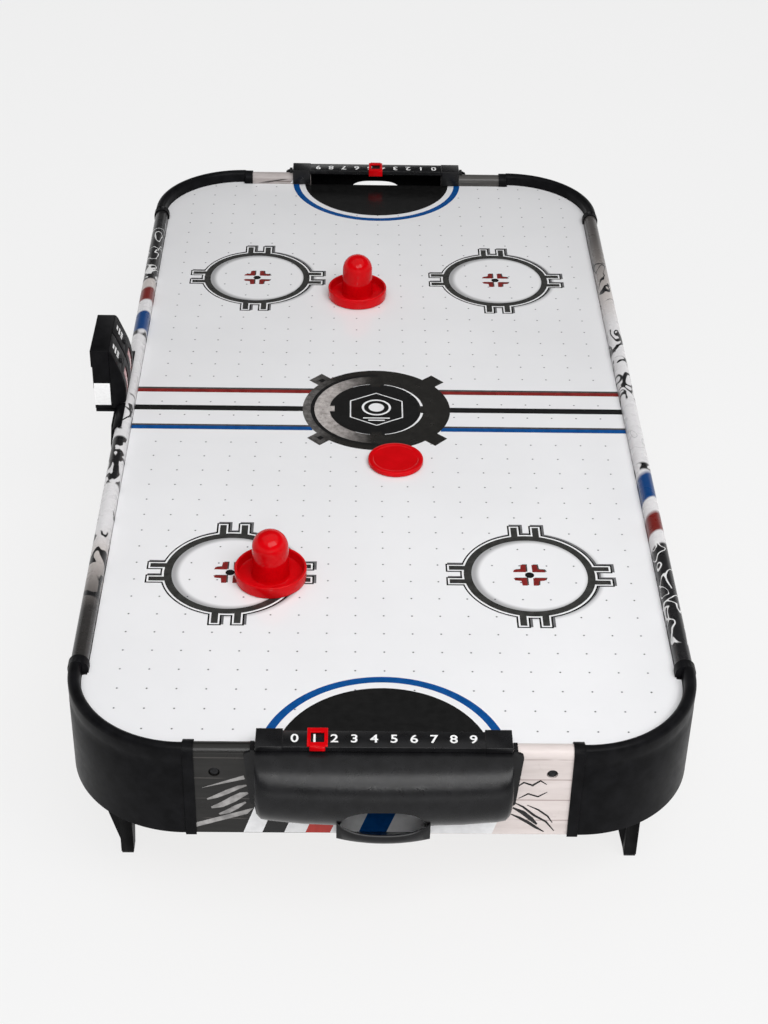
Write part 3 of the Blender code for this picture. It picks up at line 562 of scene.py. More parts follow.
INK_BLACK = ink("ink_black", (0.0065, 0.0065, 0.0065))
INK_GREY = ink("ink_charcoal", (0.034, 0.034, 0.032), 0.25)
INK_SHADE = ink("ink_shade", (0.13, 0.13, 0.135), 0.2)
INK_WHITE = ink("ink_white", (0.80, 0.80, 0.81), 0.05)
INK_RED = ink("ink_red", (0.20, 0.016, 0.014), 0.2)
INK_SIGNAL = ink("ink_signal_red", (0.44, 0.030, 0.022), 0.1)
INK_BLUE = ink("ink_blue", (0.001, 0.064, 0.25), 0.12)
INK_DUSK = ink("ink_dusk", (0.060, 0.055, 0.052), 0.2)
EMBLEM_METAL = soot("emblem_metal", (0.27, 0.245, 0.235), (0.60, 0.56, 0.54), -48.0, 8.0,
                    (0.010, 0.0095, 0.0085), (0.020, 0.019, 0.017))
EMBLEM_RIM = soot("emblem_rim", (0.045, 0.042, 0.040), (0.19, 0.18, 0.175), -66.0, -26.0,
                  (0.010, 0.0095, 0.0085), (0.019, 0.018, 0.016))


class Sheet:
    """Flat printed shapes of one ink, gathered into one thin film piece."""

    def __init__(self, name, finish, level):
        self.name = "print_" + name
        self.finish = finish
        self.level = level
        self.verts = []
        self.faces = []

    def patch(self, points, lift=0.0):
        start = len(self.verts)
        self.verts += [(x, y, self.level + lift) for x, y in points]
        self.faces.append(list(range(start, start + len(points))))

    def strip(self, inner, outer, closed=False):
        """Faces between two lines of equal length."""
        start = len(self.verts)
        count = len(inner)
        self.verts += [(x, y, self.level) for x, y in inner]
        self.verts += [(x, y, self.level) for x, y in outer]
        for i in range(count if closed else count - 1):
            j = (i + 1) % count
            self.faces.append([start + i, start + j, start + count + j, start + count + i])

    def ring(self, cx, cy, low, high, start=0.0, end=360.0, steps=120):
        self.strip(arc(cx, cy, low, start, end, steps), arc(cx, cy, high, start, end, steps))

    def box(self, cx, cy, turn, near, far, half, offset=0.0, lift=SHEET_STEP):
        """A bar pointing away from a centre, just over the shapes it crosses."""
        c = cos(radians(turn))
        s = sin(radians(turn))
        corners = ((near, offset - half), (far, offset - half), (far, offset + half),
                   (near, offset + half))
        self.patch([(cx + a * c - b * s, cy + a * s + b * c) for a, b in corners], lift)

    def bar(self, x0, x1, y0, y1):
        self.patch([(x0, y0), (x1, y0), (x1, y1), (x0, y1)])

    def lay(self):
        """Makes the piece, its faces all up."""
        made = build(self.name, (self.verts, self.faces), self.finish)
        turn_faces(made, 2, 1)
        settle(made)


def ring_centres():
    return [(PRINT_X + sx * RING_X, PRINT_Y + sy * RING_Y) for sx in (-1, 1) for sy in (-1, 1)]


def corner_rings():
    """Four printed rings with eight prongs each, and the shade beside them."""
    shade = Sheet("ring_shades", INK_SHADE, 0.02)
    black = Sheet("ring_outline", INK_BLACK, 0.04)
    white = Sheet("ring_inline", INK_WHITE, 0.07)
    grey = Sheet("ring_band", INK_GREY, 0.10)
    for cx, cy in ring_centres():
        shade.ring(cx + 1.4, cy + 1.1, 56.0, RING_RADIUS + 0.4)
        black.ring(cx, cy, 56.0, RING_RADIUS)
        white.ring(cx, cy, 55.0, 59.0)
        grey.ring(cx, cy, 50.6, 57.3)
        for turn in (0, 90, 180, 270):
            for side in (-PRONG_SIDE, PRONG_SIDE):
                shade.box(cx + 1.8, cy + 1.5, turn, 57.0, 73.1, 6.0, side)
                black.box(cx, cy, turn, 56.4, 72.8, 5.8, side)
                white.box(cx, cy, turn, 55.4, 71.4, 4.3, side)
                grey.box(cx, cy, turn, 54.0, 69.9, 2.9, side)
    for sheet in (shade, black, white, grey):
        sheet.lay()


def centre_marks():
    """Four angle marks round a dot in the middle of each corner ring."""
    red = Sheet("angle_marks", INK_RED, 0.07)
    dark = Sheet("mark_shades", INK_DUSK, 0.04)
    dots = Sheet("dots", INK_BLACK, 0.10)
    angle = ((2.8, 4.2), (14.2, 4.2), (13.0, 7.6), (7.6, 8.4), (7.0, 14.8), (2.6, 14.8))
    for cx, cy in ring_centres():
        dots.patch(arc(cx, cy, 4.0, 0, 350, 35))
        for a in (-1, 1):
            for b in (-1, 1):
                for sheet, shift in ((red, 0.0), (dark, 1.3)):
                    sheet.patch([(cx + a * p + shift, cy + b * q + shift * 0.6)
                                 for p, q in angle])
    for sheet in (dark, red, dots):
        sheet.lay()


def cross_lines():
    reach = HALF_X - WALL - 0.4
    left = EMBLEM[0] - 62.0
    right = EMBLEM[0] + 62.0
    lines = (("line_red", INK_RED, 28.5, 3.0), ("line_black", INK_BLACK, -4.5, 0.0),
             ("line_blue", INK_BLUE, -38.5, 2.8))
    for name, finish, y, shade in lines:
        line = Sheet(name, finish, 0.04)
        edge = Sheet(name + "_edge", INK_DUSK, 0.07)
        for a, b in ((-reach, left), (right, reach)):
            line.bar(a, b, y - LINE_HALF, y + LINE_HALF)
            if shade:
                edge.bar(a, b, y + LINE_HALF - shade, y + LINE_HALF + 0.1)
        line.lay()
        if shade:
            edge.lay()


def goal_arcs():
    limit = HALF_Y - WALL - 0.4
    rings = Sheet("goal_arcs", INK_BLUE, 0.04)
    fields = Sheet("goal_fields", INK_BLACK, 0.04)
    for cx, cy, up in ((0.0, -505.9, 1), (0.8, 498.0, -1)):
        gap = limit - abs(cy)
        for sheet, low, high in ((rings, 92.1, 99.1), (fields, None, FIELD_RADIUS)):
            lift = degrees(asin(max(-gap, -20.0) / high)) + 0.05
            outer = arc(cx, cy, high, up * lift, up * (180 - lift), 96)
            if low is None:
                sheet.patch(outer)
                continue
            dip = degrees(asin(-gap / low)) + 0.05
            sheet.strip(arc(cx, cy, low, up * dip, up * (180 - dip), 96), outer)
    rings.lay()
    fields.lay()


def centre_emblem():
    """Worn metal ring with four lugs and a plain hexagon badge on its dark disc."""
    cx, cy = EMBLEM
    rim = Sheet("emblem_rim", EMBLEM_RIM, 0.10)
    metal = Sheet("emblem_metal", EMBLEM_METAL, 0.13)
    black = Sheet("emblem_disc", INK_BLACK, 0.16)
    white = Sheet("emblem_lines", INK_WHITE, 0.19)
    rim.ring(cx, cy, 40.0, 72.3)
    for turn in (43, 136, 224, 317):
        rim.box(cx, cy, turn, 64.0, 84.5, 8.8)
    for turn in (136, 224):
        black.box(cx, cy, turn, 72.5, 77.5, 2.6, lift=0.0)
    black.ring(cx, cy, 60.8, 64.6, 88, 272)
    metal.ring(cx, cy, 44.0, 62.0)
    black.patch(arc(cx, cy, 46.0, 0, 356, 90))
    for turn in (0, 90, 180, 270):
        tab = Sheet("emblem_tab_%d" % turn, EMBLEM_METAL, 0.19)
        tab.box(cx, cy, turn, 41.0, 48.0, 4.8)
        tab.lay()
    for start, end, thin in ((8, 80, 0.7), (280, 352, 0.7), (98, 120, 0.4), (244, 262, 0.4)):
        inner = []
        outer = []
        for i in range(25):
            turn = radians(start + (end - start) * i / 24)
            swell = 1.9 * max(0.0, cos(turn)) ** 2
            for line, radius in ((outer, 46.2), (inner, 46.2 - thin - swell)):
                line.append((cx + radius * cos(turn), cy + radius * sin(turn)))
        white.strip(inner, outer)
    hexagon_badge(white, cx, cy)
    for sheet in (rim, metal, black, white):
        sheet.lay()


def hexagon_badge(white, cx, cy):
    """Thin hexagon round a plain disc in a ring, with two short bars under it."""
    white.strip(arc(cx, cy, 28.6, 30, 330, 5), arc(cx, cy, 30.0, 30, 330, 5), closed=True)
    white.ring(cx, cy + 3.0, 12.2, 14.4, steps=60)
    white.patch(arc(cx, cy + 3.0, 7.6, 0, 350, 35))
    for drop, half in ((-16.2, 13.0), (-20.2, 8.0)):
        white.box(cx, cy + drop, 0.0, -half, half, 0.9)


# ---- the rails' printed wrap

def wrap_film(name, stops, zones):
    """Printed film along a side rail: colour bands with brush strokes over some of them.

    Each zone is (from, to, colour, scale, width): strokes drawn between two places.
    """
    made = Finish(name, 0.26, Specular_IOR_Level=0.25, Coat_Weight=0.08, Coat_Roughness=0.12)
    x, y, _ = made.table()
    ends = made.wavered(y, 5.0, 45, 2.0)
    skew = made.sum("MULTIPLY_ADD", x, -0.55, ends)
    base = made.bands(made.sum("ADD", skew, STOP_SHIFT[name]), -410.0, 410.0, stops)
    grime = made.ramp(made.noise(240, 6.0, 0.7), 0.42, 0.75)
    tone = made.mix(made.times(grime, 0.10), base, (0.12, 0.11, 0.11))
    for low, high, colour, scale, width in zones:
        field = made.noise(scale, 1.2, 0.4, vector=made.stretched(1.0, 0.62, 0.9), distortion=0.9)
        line = made.sum("ABSOLUTE", made.less(field, 0.5))
        mask = made.times(made.ramp(line, width, width * 0.7), made.between(y, low, high, 1.5))
        tone = made.mix(mask, tone, colour)
    made.set("Base Color", tone)
    made.worn(0.20, 0.36, 70)
    made.grain(120, 3.0, 0.00005, 0.25)
    return made.material


def sharp(*spans):
    """Stops of a colour ramp that jumps from one colour to the next: (end, colour) pairs."""
    stops = []
    last = None
    for end, colour in spans:
        stops.append(((-409.0 if last is None else last + 0.6), colour))
        stops.append((end, colour))
        last = end
    return stops


BLACK = (0.010, 0.010, 0.011)
CHALK = (0.70, 0.69, 0.70)
WARM = (0.52, 0.48, 0.46)
TAUPE = (0.165, 0.150, 0.142)
RED = (0.16, 0.012, 0.009)
BLUE = (0.0008, 0.045, 0.18)
STOP_SHIFT = {"wrap_left": -0.55 * (HALF_X - WALL / 2), "wrap_right": 0.55 * (HALF_X - WALL / 2)}


def left_wrap():
    stops = [(-409.0, (0.020, 0.019, 0.018)), (-330.0, (0.030, 0.028, 0.027)),
             (-300.0, TAUPE), (-255.0, WARM), (-215.0, CHALK)]
    stops += sharp((128.0, CHALK), (169.0, BLUE), (194.0, CHALK), (219.0, RED), (237.0, WARM),
                   (409.0, BLACK))[1:]
    zones = ((238.0, 372.0, (0.72, 0.72, 0.72), 62.0, 0.020), (-60.0, 4.0, BLACK, 66.0, 0.060),
             (-150.0, -72.0, BLACK, 60.0, 0.065), (-204.0, -190.0, BLACK, 50.0, 0.08),
             (-318.0, -225.0, BLACK, 46.0, 0.050), (118.0, 127.0, BLACK, 40.0, 0.07))
    return wrap_film("wrap_left", stops, zones)


def right_wrap():
    stops = sharp((-232.0, BLACK), (-212.0, CHALK), (-186.0, RED), (-162.0, CHALK),
                  (-122.0, BLUE), (150.0, CHALK))
    stops += [(215.0, WARM), (300.0, TAUPE), (345.0, (0.085, 0.078, 0.075)),
              (409.0, (0.060, 0.055, 0.053))]
    zones = ((-372.0, -228.0, (0.74, 0.74, 0.74), 58.0, 0.022),
             (-119.0, -108.0, BLACK, 40.0, 0.09), (4.0, 84.0, BLACK, 64.0, 0.065),
             (95.0, 140.0, BLACK, 60.0, 0.06), (200.0, 300.0, BLACK, 52.0, 0.030),
             (-100.0, 4.0, (0.45, 0.45, 0.46), 30.0, 0.006))
    return wrap_film("wrap_right", stops, zones)


def apron_film(name, split, left_tone, right_tone, left_board, right_board):
    """Printed film of an end rail: plank pattern, one tone each side of the goal."""
    made = Finish(name, 0.30, Specular_IOR_Level=0.25, Coat_Weight=0.08, Coat_Roughness=0.12)
    x, _, z = made.table()
    wavy = made.wavered(z, 3.0, 9, 2.0)
    course = made.sum("FRACT", made.sum("DIVIDE", made.sum("ADD", wavy, 200.0), 21.5))
    seam = made.ramp(made.sum("ABSOLUTE", made.less(course, 0.5)), 0.035, 0.012)
    streaks = made.ramp(made.noise(60, 6.0, 0.65, vector=made.stretched(0.25, 1, 2.2)), 0.3, 0.7)
    side = made.ramp(x, split - 0.3, split + 0.3)
    plank = made.mix(side, made.mix(streaks, *left_tone),
                     made.mix(streaks, *right_tone))
    joint = made.mix(side, left_board, right_board)
    broken = made.times(seam, made.ramp(made.noise(26, 2.0), 0.42, 0.52))
    made.set("Base Color", made.mix(broken, plank, joint))
    made.worn(0.22, 0.38, 50)
    made.grain(140, 4.0, 0.00006, 0.3)
    made.bump(made.less(1.0, broken), 0.00008, 0.3)
    return made.material


def near_film():
    return apron_film("wrap_near", -60.0, ((0.007, 0.0065, 0.006), (0.017, 0.016, 0.015)),
                      ((0.60, 0.53, 0.51), (0.72, 0.65, 0.63)), (0.055, 0.050, 0.047),
                      (0.38, 0.30, 0.29))


def far_film():
    return apron_film("wrap_far", 0.0, ((0.34, 0.30, 0.29), (0.46, 0.42, 0.41)),
                      ((0.045, 0.042, 0.040), (0.085, 0.080, 0.076)), (0.16, 0.13, 0.12),
                      (0.02, 0.02, 0.02))


# ---- frame pieces

def floor_outline(steps):
    """Plan inside the rails and corner covers."""
    inner_x = HALF_X - WALL - GAP
    inner_y = HALF_Y - WALL - GAP
    cx, cy = CORNER_X, CORNER_Y
    radius = CORNER_RADIUS - CORNER_WALL - GAP
    bend = arc(cx, cy, radius, 1.5, 88.5, steps)
    quarter = [(inner_x, cy - 2.0), (cx + radius, cy - 1.5)] + bend
    quarter += [(cx + 1.0, cy + radius), (cx + 1.5, inner_y)]
    outline = []
    for sx, sy, flip in ((1, 1, False), (-1, 1, True), (-1, -1, False), (1, -1, True)):
        points = [(sx * x, sy * y) for x, y in quarter]
        outline.extend(reversed(points) if flip else points)
    return outline


def wall_section():
    half = WALL / 2
    nose = arc(half, RISE - half, half, 180, 0, NOSE)
    low = (0.0, -DROP)
    flank = (0.0, -DROP * 0.5)
    return [low, flank] + nose + [(WALL, -DROP * 0.5), (WALL, -DROP)]


def make_rails():
    reach = CORNER_Y - 4.1
    for name, side, film in (("left", -1, left_wrap()), ("right", 1, right_wrap())):
        outline = [(side * (HALF_X - s), z) for s, z in wall_section()]
        piece("long_rail_" + name, prism(outline, "y", -reach, reach), film,
              stands_for="rail_" + name)


def make_aprons():
    """End rails with the goal notch and their countersunk screw holes."""
    reach = CORNER_X - 0.9
    screw = middle_of("apron_screw_near_right")
    for name, end, film in (("near", -1, near_film()), ("far", 1, far_film())):
        outline = [(end * (HALF_Y - s), z) for s, z in wall_section()]
        rail = build("end_rail_" + name, prism(outline, "x", -reach, reach), film)
        low, high = sorted((end * (HALF_Y - WALL - 5), end * (HALF_Y + 5)))
        notch = block(-GOAL_HALF, GOAL_HALF, low, high, -12.0, RISE + 5)
        carve(rail, build("notch", notch, film))
        for side in (-1, 1):
            shaft = [(0, -4), (2.0, -4), (2.0, 13.8), (4.4, 13.8), (4.4, 20), (0, 20)]
            verts, faces = turned(shaft, 40, (0, 0, 0))
            verts = [(a + side * screw.x, end * (HALF_Y - 17 + h), b + screw.z)
                     for a, b, h in verts]
            carve(rail, build("hole", (verts, faces), film))
        soften(rail.data, 35.0)
        settle(rail, stands_for="apron_" + name)


def collar_section():
    """Sleeve over the end of a rail, its lower edge eased."""
    middle = WALL / 2
    level = RISE - middle
    skin = arc(middle, level, middle + PROUD, 180, 0, NOSE)
    room = arc(middle, level, middle + GAP, 0, 180, NOSE)
    outside = [(-PROUD, -DROP - 1.2), (-PROUD, -40.0), (-PROUD, -9.0), (-PROUD, -5.0),
               (-PROUD, -1.0)]
    inside = [(WALL + PROUD, 2.0), (WALL + PROUD, GAP), (WALL + GAP, GAP)]
    return outside + skin + inside + room + [(-GAP, -40.0), (-GAP, -DROP - 1.2)]


def bend_section(floor_level):
    middle = CORNER_WALL / 2
    level = CORNER_RISE - middle
    skin = arc(middle, level, middle, 180, 0, NOSE)
    room = arc(middle, level - 1.0, middle - 2.5, 0, 180, NOSE)
    outside = [(0.0, -DROP - 0.5), (0.0, -40.0), (0.0, -10.0), (0.8, -5.5), (0.1, -1.5)]
    inside = [(CORNER_WALL, 2.0), (CORNER_WALL, floor_level), (CORNER_WALL - 2.5, floor_level)]
    return outside + skin + inside + room + [(2.5, -40.0), (2.5, -DROP - 0.5)]


def corner_geometry():
    cx, cy = CORNER_X, CORNER_Y

    def on_end(x, section):
        return [(x, HALF_Y - s, z) for s, z in section]

    def on_side(y, section):
        return [(HALF_X - s, y, z) for s, z in section]

    def on_bend(angle, section):
        turn = radians(angle)
        c, s = cos(turn), sin(turn)
        return [(cx + (CORNER_RADIUS - a) * c, cy + (CORNER_RADIUS - a) * s, z)
                for a, z in section]

    collar = collar_section()
    bend = bend_section(-DROP - 0.5)
    lifted = bend_section(GAP)
    stations = [on_end(cx - 0.6 - COLLAR, collar), on_end(cx - 0.8, collar),
                on_end(cx - 0.3, lifted)]
    stations += [on_bend(90 - 90 * step / BEND_STEPS, bend) for step in range(BEND_STEPS + 1)]
    stations += [on_side(cy - 3.1, bend), on_side(cy - 3.4, lifted), on_side(cy - 3.9, collar),
                 on_side(cy - 3.7 - COLLAR, collar)]
    return sweep(stations)


def make_corners(finish):
    for far, sy in (("far", 1), ("near", -1)):
        for side, sx in (("left", -1), ("right", 1)):
            cover = piece("cover_%s_%s" % (far, side), turned_over(corner_geometry(), sx, sy),
                          finish, stands_for="corner_%s_%s" % (far, side),
                          crease=40.0)
            round_edges(cover, 0.35, 2, 60)


def make_board():
    plate = prism(floor_outline(36), "z", -5.0, 0.0)
    board = piece("play_surface", plate, board_laminate(), stands_for="playfield_board")
    round_edges(board, 0.2, 2)


# ---- goals

CATCH_HALF = 98.5
CATCH_TOP = 13.0
CATCH_SKIN = 2.4
CATCH_AXIS = 5.0
SCOOP_HALF = 36.0
FINGER_HALF = 33.6
DRUM = ((-98.5, 24.0), (-97.3, 27.0), (-94.0, 29.2), (-80.0, 30.3), (-42.0, 31.6), (0.0, 32.4),
        (42.0, 31.6), (80.0, 30.3), (94.0, 29.2), (97.3, 27.0), (98.5, 24.0))


def drum_sizes():
    """The drum's stations with one more, eased, between each pair."""
    sizes = [DRUM[0]]
    for before, (x0, r0), (x1, r1), after in zip((DRUM[0],) + DRUM, DRUM, DRUM[1:],
                                                 DRUM[2:] + (DRUM[-1],)):
        bulge = (2 * (r0 + r1) - before[1] - after[1]) / 16
        limit = 0.28 if abs(x0) < 93 else 0.12
        sizes.append(((x0 + x1) / 2, (r0 + r1) / 2 + max(-limit, min(limit, bulge))))
        sizes.append((x1, r1))
    return sizes


def out_from_end(x, points):
    """Points (distance out, height) in front of the near end rail."""
    return [(x, -HALF_Y - d, z) for d, z in points]


def drum_ring(x, radius, skin, back):
    level = CATCH_TOP - radius
    curve = arc(CATCH_AXIS, level, radius - skin, 90, -90, 36)
    return out_from_end(x, [(back, CATCH_TOP - skin)] + curve
                        + [(back, CATCH_TOP - 2 * radius + skin)])


def drum_outside():
    return sweep([drum_ring(x, radius, 0.0, GAP) for x, radius in drum_sizes()])


def drum_inside():
    limit = CATCH_HALF - CATCH_SKIN
    rings = []
    for x, radius in drum_sizes():
        if abs(x) < 97.5:
            place = max(-limit, min(limit, x))
            rings.append(drum_ring(place, radius, CATCH_SKIN, -3.0))
    return sweep(rings)


def scoop(half, section):
    """A solid through 25 sections between -half and half, in front of the near end rail."""
    rings = []
    for step in range(25):
        x = -half + half / 12 * step
        front = 41.0 - 5.5 * (x / SCOOP_HALF) ** 2
        rings.append(out_from_end(x, section(x, front)))
    return sweep(rings)


def scoop_outside(x, front):
    rim = -39.5 + 8.5 * (x / SCOOP_HALF) ** 4      # the rim climbs the drum at both sides
    return [(GAP, -49.5), (17.0, -47.0), (25.0, -43.0), (front - 0.9, rim - 0.2),
            (front - 0.2, rim - 0.8), (front + 0.3, rim - 2.6), (front + 0.4, rim - 5.0),
            (front - 0.6, -47.4), (front - 2.8, -50.0), (GAP, -79.0)]


def scoop_inside(x, front):
    inner = front - 2.3
    return [(-3.0, -20.0), (inner, -20.0), (inner, -44.0), (inner - 0.9, -46.4),
            (inner - 2.6, -48.2), (-3.0, -77.6)]


def finger_opening():
    outline = [(-FINGER_HALF, -70.0), (-FINGER_HALF, -43.0)]
    for step in range(1, 40):
        turn = pi - pi * step / 40
        across = copysign(abs(cos(turn)) ** 0.6, cos(turn))
        outline.append((FINGER_HALF * across, -43.0 + 24.5 * sin(turn) ** 0.7))
    outline += [(FINGER_HALF, -43.0), (FINGER_HALF, -70.0)]
    return prism(outline, "y", -HALF_Y - 60, -HALF_Y + 3)


def wing_plate():
    outline = [(-99, -46), (-103.5, -42), (-107.5, 7), (-106.6, 9.6), (-103.5, 11.2),
               (103.5, 11.2), (106.6, 9.6), (107.5, 7), (103.5, -42), (99, -46)]
    return prism(outline, "y", -HALF_Y - 2.8, -HALF_Y - GAP)


def wing_hook(side):
    outline = [(-HALF_Y - 2.8, 5.0), (-HALF_Y - 2.8, 13.2), (-HALF_Y + 8.0, 13.2),
               (-HALF_Y + 8.0, 11.4), (-HALF_Y + 1.6, 11.4), (-HALF_Y - GAP, 9.0),
               (-HALF_Y - GAP, 5.0)]
    low, high = sorted((side * 99.4, side * 102.6))
    return prism(outline, "x", low, high)


def make_catcher(name, end, finish):
    def shape(title, geometry):
        return build(title, turned_over(geometry, -end, -end) if end > 0 else geometry, finish)

    drum = shape("goal_" + name, drum_outside())
    carve(drum, shape("room", drum_inside()))
    carve(drum, shape("arch", finger_opening()))
    wings = shape("wings", wing_plate())
    carve(wings, shape("room", drum_inside()))
    tray = shape("scoop", scoop(SCOOP_HALF, scoop_outside))
    carve(tray, shape("room", scoop(FINGER_HALF, scoop_inside)))
    carve(drum, wings, "UNION")
    carve(drum, tray, "UNION")
    for side in (-1, 1):
        carve(drum, shape("hook", wing_hook(side)), "UNION")
    passage = block(-FINGER_HALF, FINGER_HALF, -HALF_Y - 6.0, -HALF_Y + 3.0, -52.0, -40.0)
    carve(drum, shape("passage", passage))
    soften(drum.data, 32.0)
    settle(drum, stands_for="catcher_" + name)


FIGURE_PITCH = 15.245
FIGURE_FIRST = -68.6
FIGURE_ROW = 500.9      # from the table's middle to the middle of a score bar
FIGURE_LEVEL = 18.05


def digit(value, x, y, turned_round, finish):
    """A bold figure lying on a score bar."""
    text = bpy.data.curves.new("figure", "FONT")
    text.body = str(value)
    text.size = 12.6 * MM
    text.offset = 0.21 * MM
    text.align_x = "CENTER"
    text.align_y = "CENTER"
    holder = show("figure", text)
    mesh = evaluated(holder)
    bpy.data.objects.remove(holder)
    turn = -1.0 if turned_round else 1.0
    for vertex in mesh.vertices:
        flat = vertex.co.copy()
        vertex.co = spot(x, y, FIGURE_LEVEL) + Vector((turn * flat.x, turn * flat.y, 0.0))
    mesh.materials.clear()
    mesh.materials.append(finish)
    end = "far" if turned_round else "near"
    settle(show("figure_%s_%d" % (end, value), mesh))


def make_digits():
    white = ink("figure_white", (0.84, 0.84, 0.84), 0.05, 0.35)
    for value in range(10):
        x = FIGURE_FIRST + FIGURE_PITCH * value
        digit(value, x, -FIGURE_ROW, False, white)
        digit(value, -x, FIGURE_ROW, True, white)


# ---- mallets and puck

def mallet_profile():
    """Cup with a rolled rim round a domed post; its skirt hides the felt."""
    edge = 31.2
    top = 11.7
    rim = [(0.0, 2.1), (edge - 1.7, 2.1), (edge - 1.7, 0.6), (edge - 0.9, 0.45), (edge - 0.3, 0.8),
           (edge, 1.7), (edge, top - 1.1)]
    rim += arc(edge - 1.1, top - 1.1, 1.1, 20, 160, 8)
    rim += [(edge - 2.4, top - 2.2), (edge - 2.7, 4.8), (edge - 3.1, 3.9), (edge - 3.9, 3.5)]
    grip = [(17.6, 3.5), (16.7, 3.9), (16.2, 5.0), (16.0, 7.0), (15.9, 18.0), (15.7, 32.9)]
    dome = arc(0.0, 32.9, 15.7, 0, 90, 18)[1:-1]
    return rim + grip + dome + [(0.0, 48.6)]


def make_playing_pieces(red, cloth):
    for name in ("near", "far"):
        middle = middle_of("mallet_" + name)
        centre = (middle.x, middle.y, 0.0)
        piece("striker_" + name, turned(mallet_profile(), 112, centre), red,
              "mallet_" + name, "mallet_" + name, 30.0)
        pad = [(0.0, GAP), (28.9, GAP), (29.3, 0.6), (29.3, 1.5), (28.9, 1.8), (0.0, 1.8)]
        piece("striker_felt_" + name, turned(pad, 96, centre), cloth,
              "mallet_" + name, "mallet_felt_" + name, 30.0)
    middle = middle_of("puck")
    edge = 26.0
    profile = [(0.0, GAP), (edge - 1.3, GAP), (edge - 0.5, 0.55), (edge, 1.3), (edge, 4.1),
               (edge - 0.3, 4.8), (edge - 1.0, 5.2), (edge - 3.9, 5.2), (edge - 4.6, 4.9),
               (edge - 5.1, 4.5), (0.0, 4.5)]
    piece("disc", turned(profile, 112, (middle.x, middle.y, 0.0)), red, "puck", "puck",
          30.0)


# ---- pieces kept from the CAD

def keep(names, finish, bevel=0.3, segments=2):
    """Shows CAD nodes with softened edges and a material of their own."""
    for name in names:
        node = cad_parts[name]
        mesh = node.data
        mesh.materials.clear()
        mesh.materials.append(finish)
        mesh.shade_smooth()
        weld = node.modifiers.new("weld", "WELD")
        weld.merge_threshold = 0.00001
        round_edges(node, bevel, segments, 35.0)


def make_scorer_trim():
    """Blank label on the near end, plain marks over the buttons."""
    near = in_table(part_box("scorer_housing")[0]).y - 0.06
    paper = fine("blank_label", (0.88, 0.88, 0.88), (0.94, 0.94, 0.94), 400, 0.00003, 0.45)
    x0, x1, z0, z1 = -275.4, -260.0, 10.0, 34.5
    label = [(x0, near, z0), (x1, near, z0), (x1, near, z1), (x0, near, z1)]
    piece("scorer_label", patches([label]), paper)
    white = ink("mark_white", (0.78, 0.78, 0.78), 0.05, 0.4)
    marks = []
    bars = ((-3.6, 56.6, 2.8, 3.4), (0.2, 56.6, 3.2, 3.4), (4.2, 56.6, 3.0, 3.4),
            (0.2, 61.2, 10.6, 2.4), (0.2, 65.4, 7.0, 2.6))
    for lane in (0.2, 35.8):
        for y, z, wide, high in bars:
            mark = []
            for dy, dz in ((-1, -1), (1, -1), (1, 1), (-1, 1)):
                level = z + dz * high / 2
                mark.append((face_x(level) + 0.07, lane + y + dy * wide / 2, level))
            marks.append(mark)
    piece("scorer_marks", patches(marks), white)


def face_x(level):
    """The scorer face's X at a height between its button and its top."""
    line = ((44.0, -247.9), (52.0, -250.8), (60.0, -254.0), (67.5, -257.0), (70.3, -259.0))
    for (low, a), (high, b) in zip(line, line[1:]):
        if low <= level <= high:
            return a + (b - a) * (level - low) / (high - low)
    return line[0][1]


# ---- end rail graphics

STRIPE_LOW = -76.6
STRIPE_TOP = -12.5


def front_print(name, finish, shapes, proud=0.05):
    """Flat shapes on the near end rail's outer face, as lists of (x, z)."""
    faces = [[(x, -HALF_Y - proud - SHEET_STEP * index, z) for x, z in shape]
             for index, shape in enumerate(shapes)]
    made = build("print_front_" + name, patches(faces), finish)
    turn_faces(made, 1, -1)
    settle(made)


def slanted(x0, x1):
    """A stripe between two places along the lower edge, leaning as it rises."""
    rise = (STRIPE_TOP - STRIPE_LOW) * 0.34
    return [(x0, STRIPE_LOW), (x1, STRIPE_LOW), (x1 + rise, STRIPE_TOP), (x0 + rise, STRIPE_TOP)]


def brush(line, width):
    """A tapering stroke as one closed outline."""
    left = []
    right = []
    count = len(line)
    for i, (x, z) in enumerate(line):
        ax, az = line[max(i - 1, 0)]
        bx, bz = line[min(i + 1, count - 1)]
        length = hypot(bx - ax, bz - az) or 1.0
        half = width * (0.15 + 0.85 * sin(pi * (i + 0.3) / (count - 0.4))) / 2
        left.append((x - (bz - az) / length * half, z + (bx - ax) / length * half))
        right.append((x + (bz - az) / length * half, z - (bx - ax) / length * half))
    return left + right[::-1]


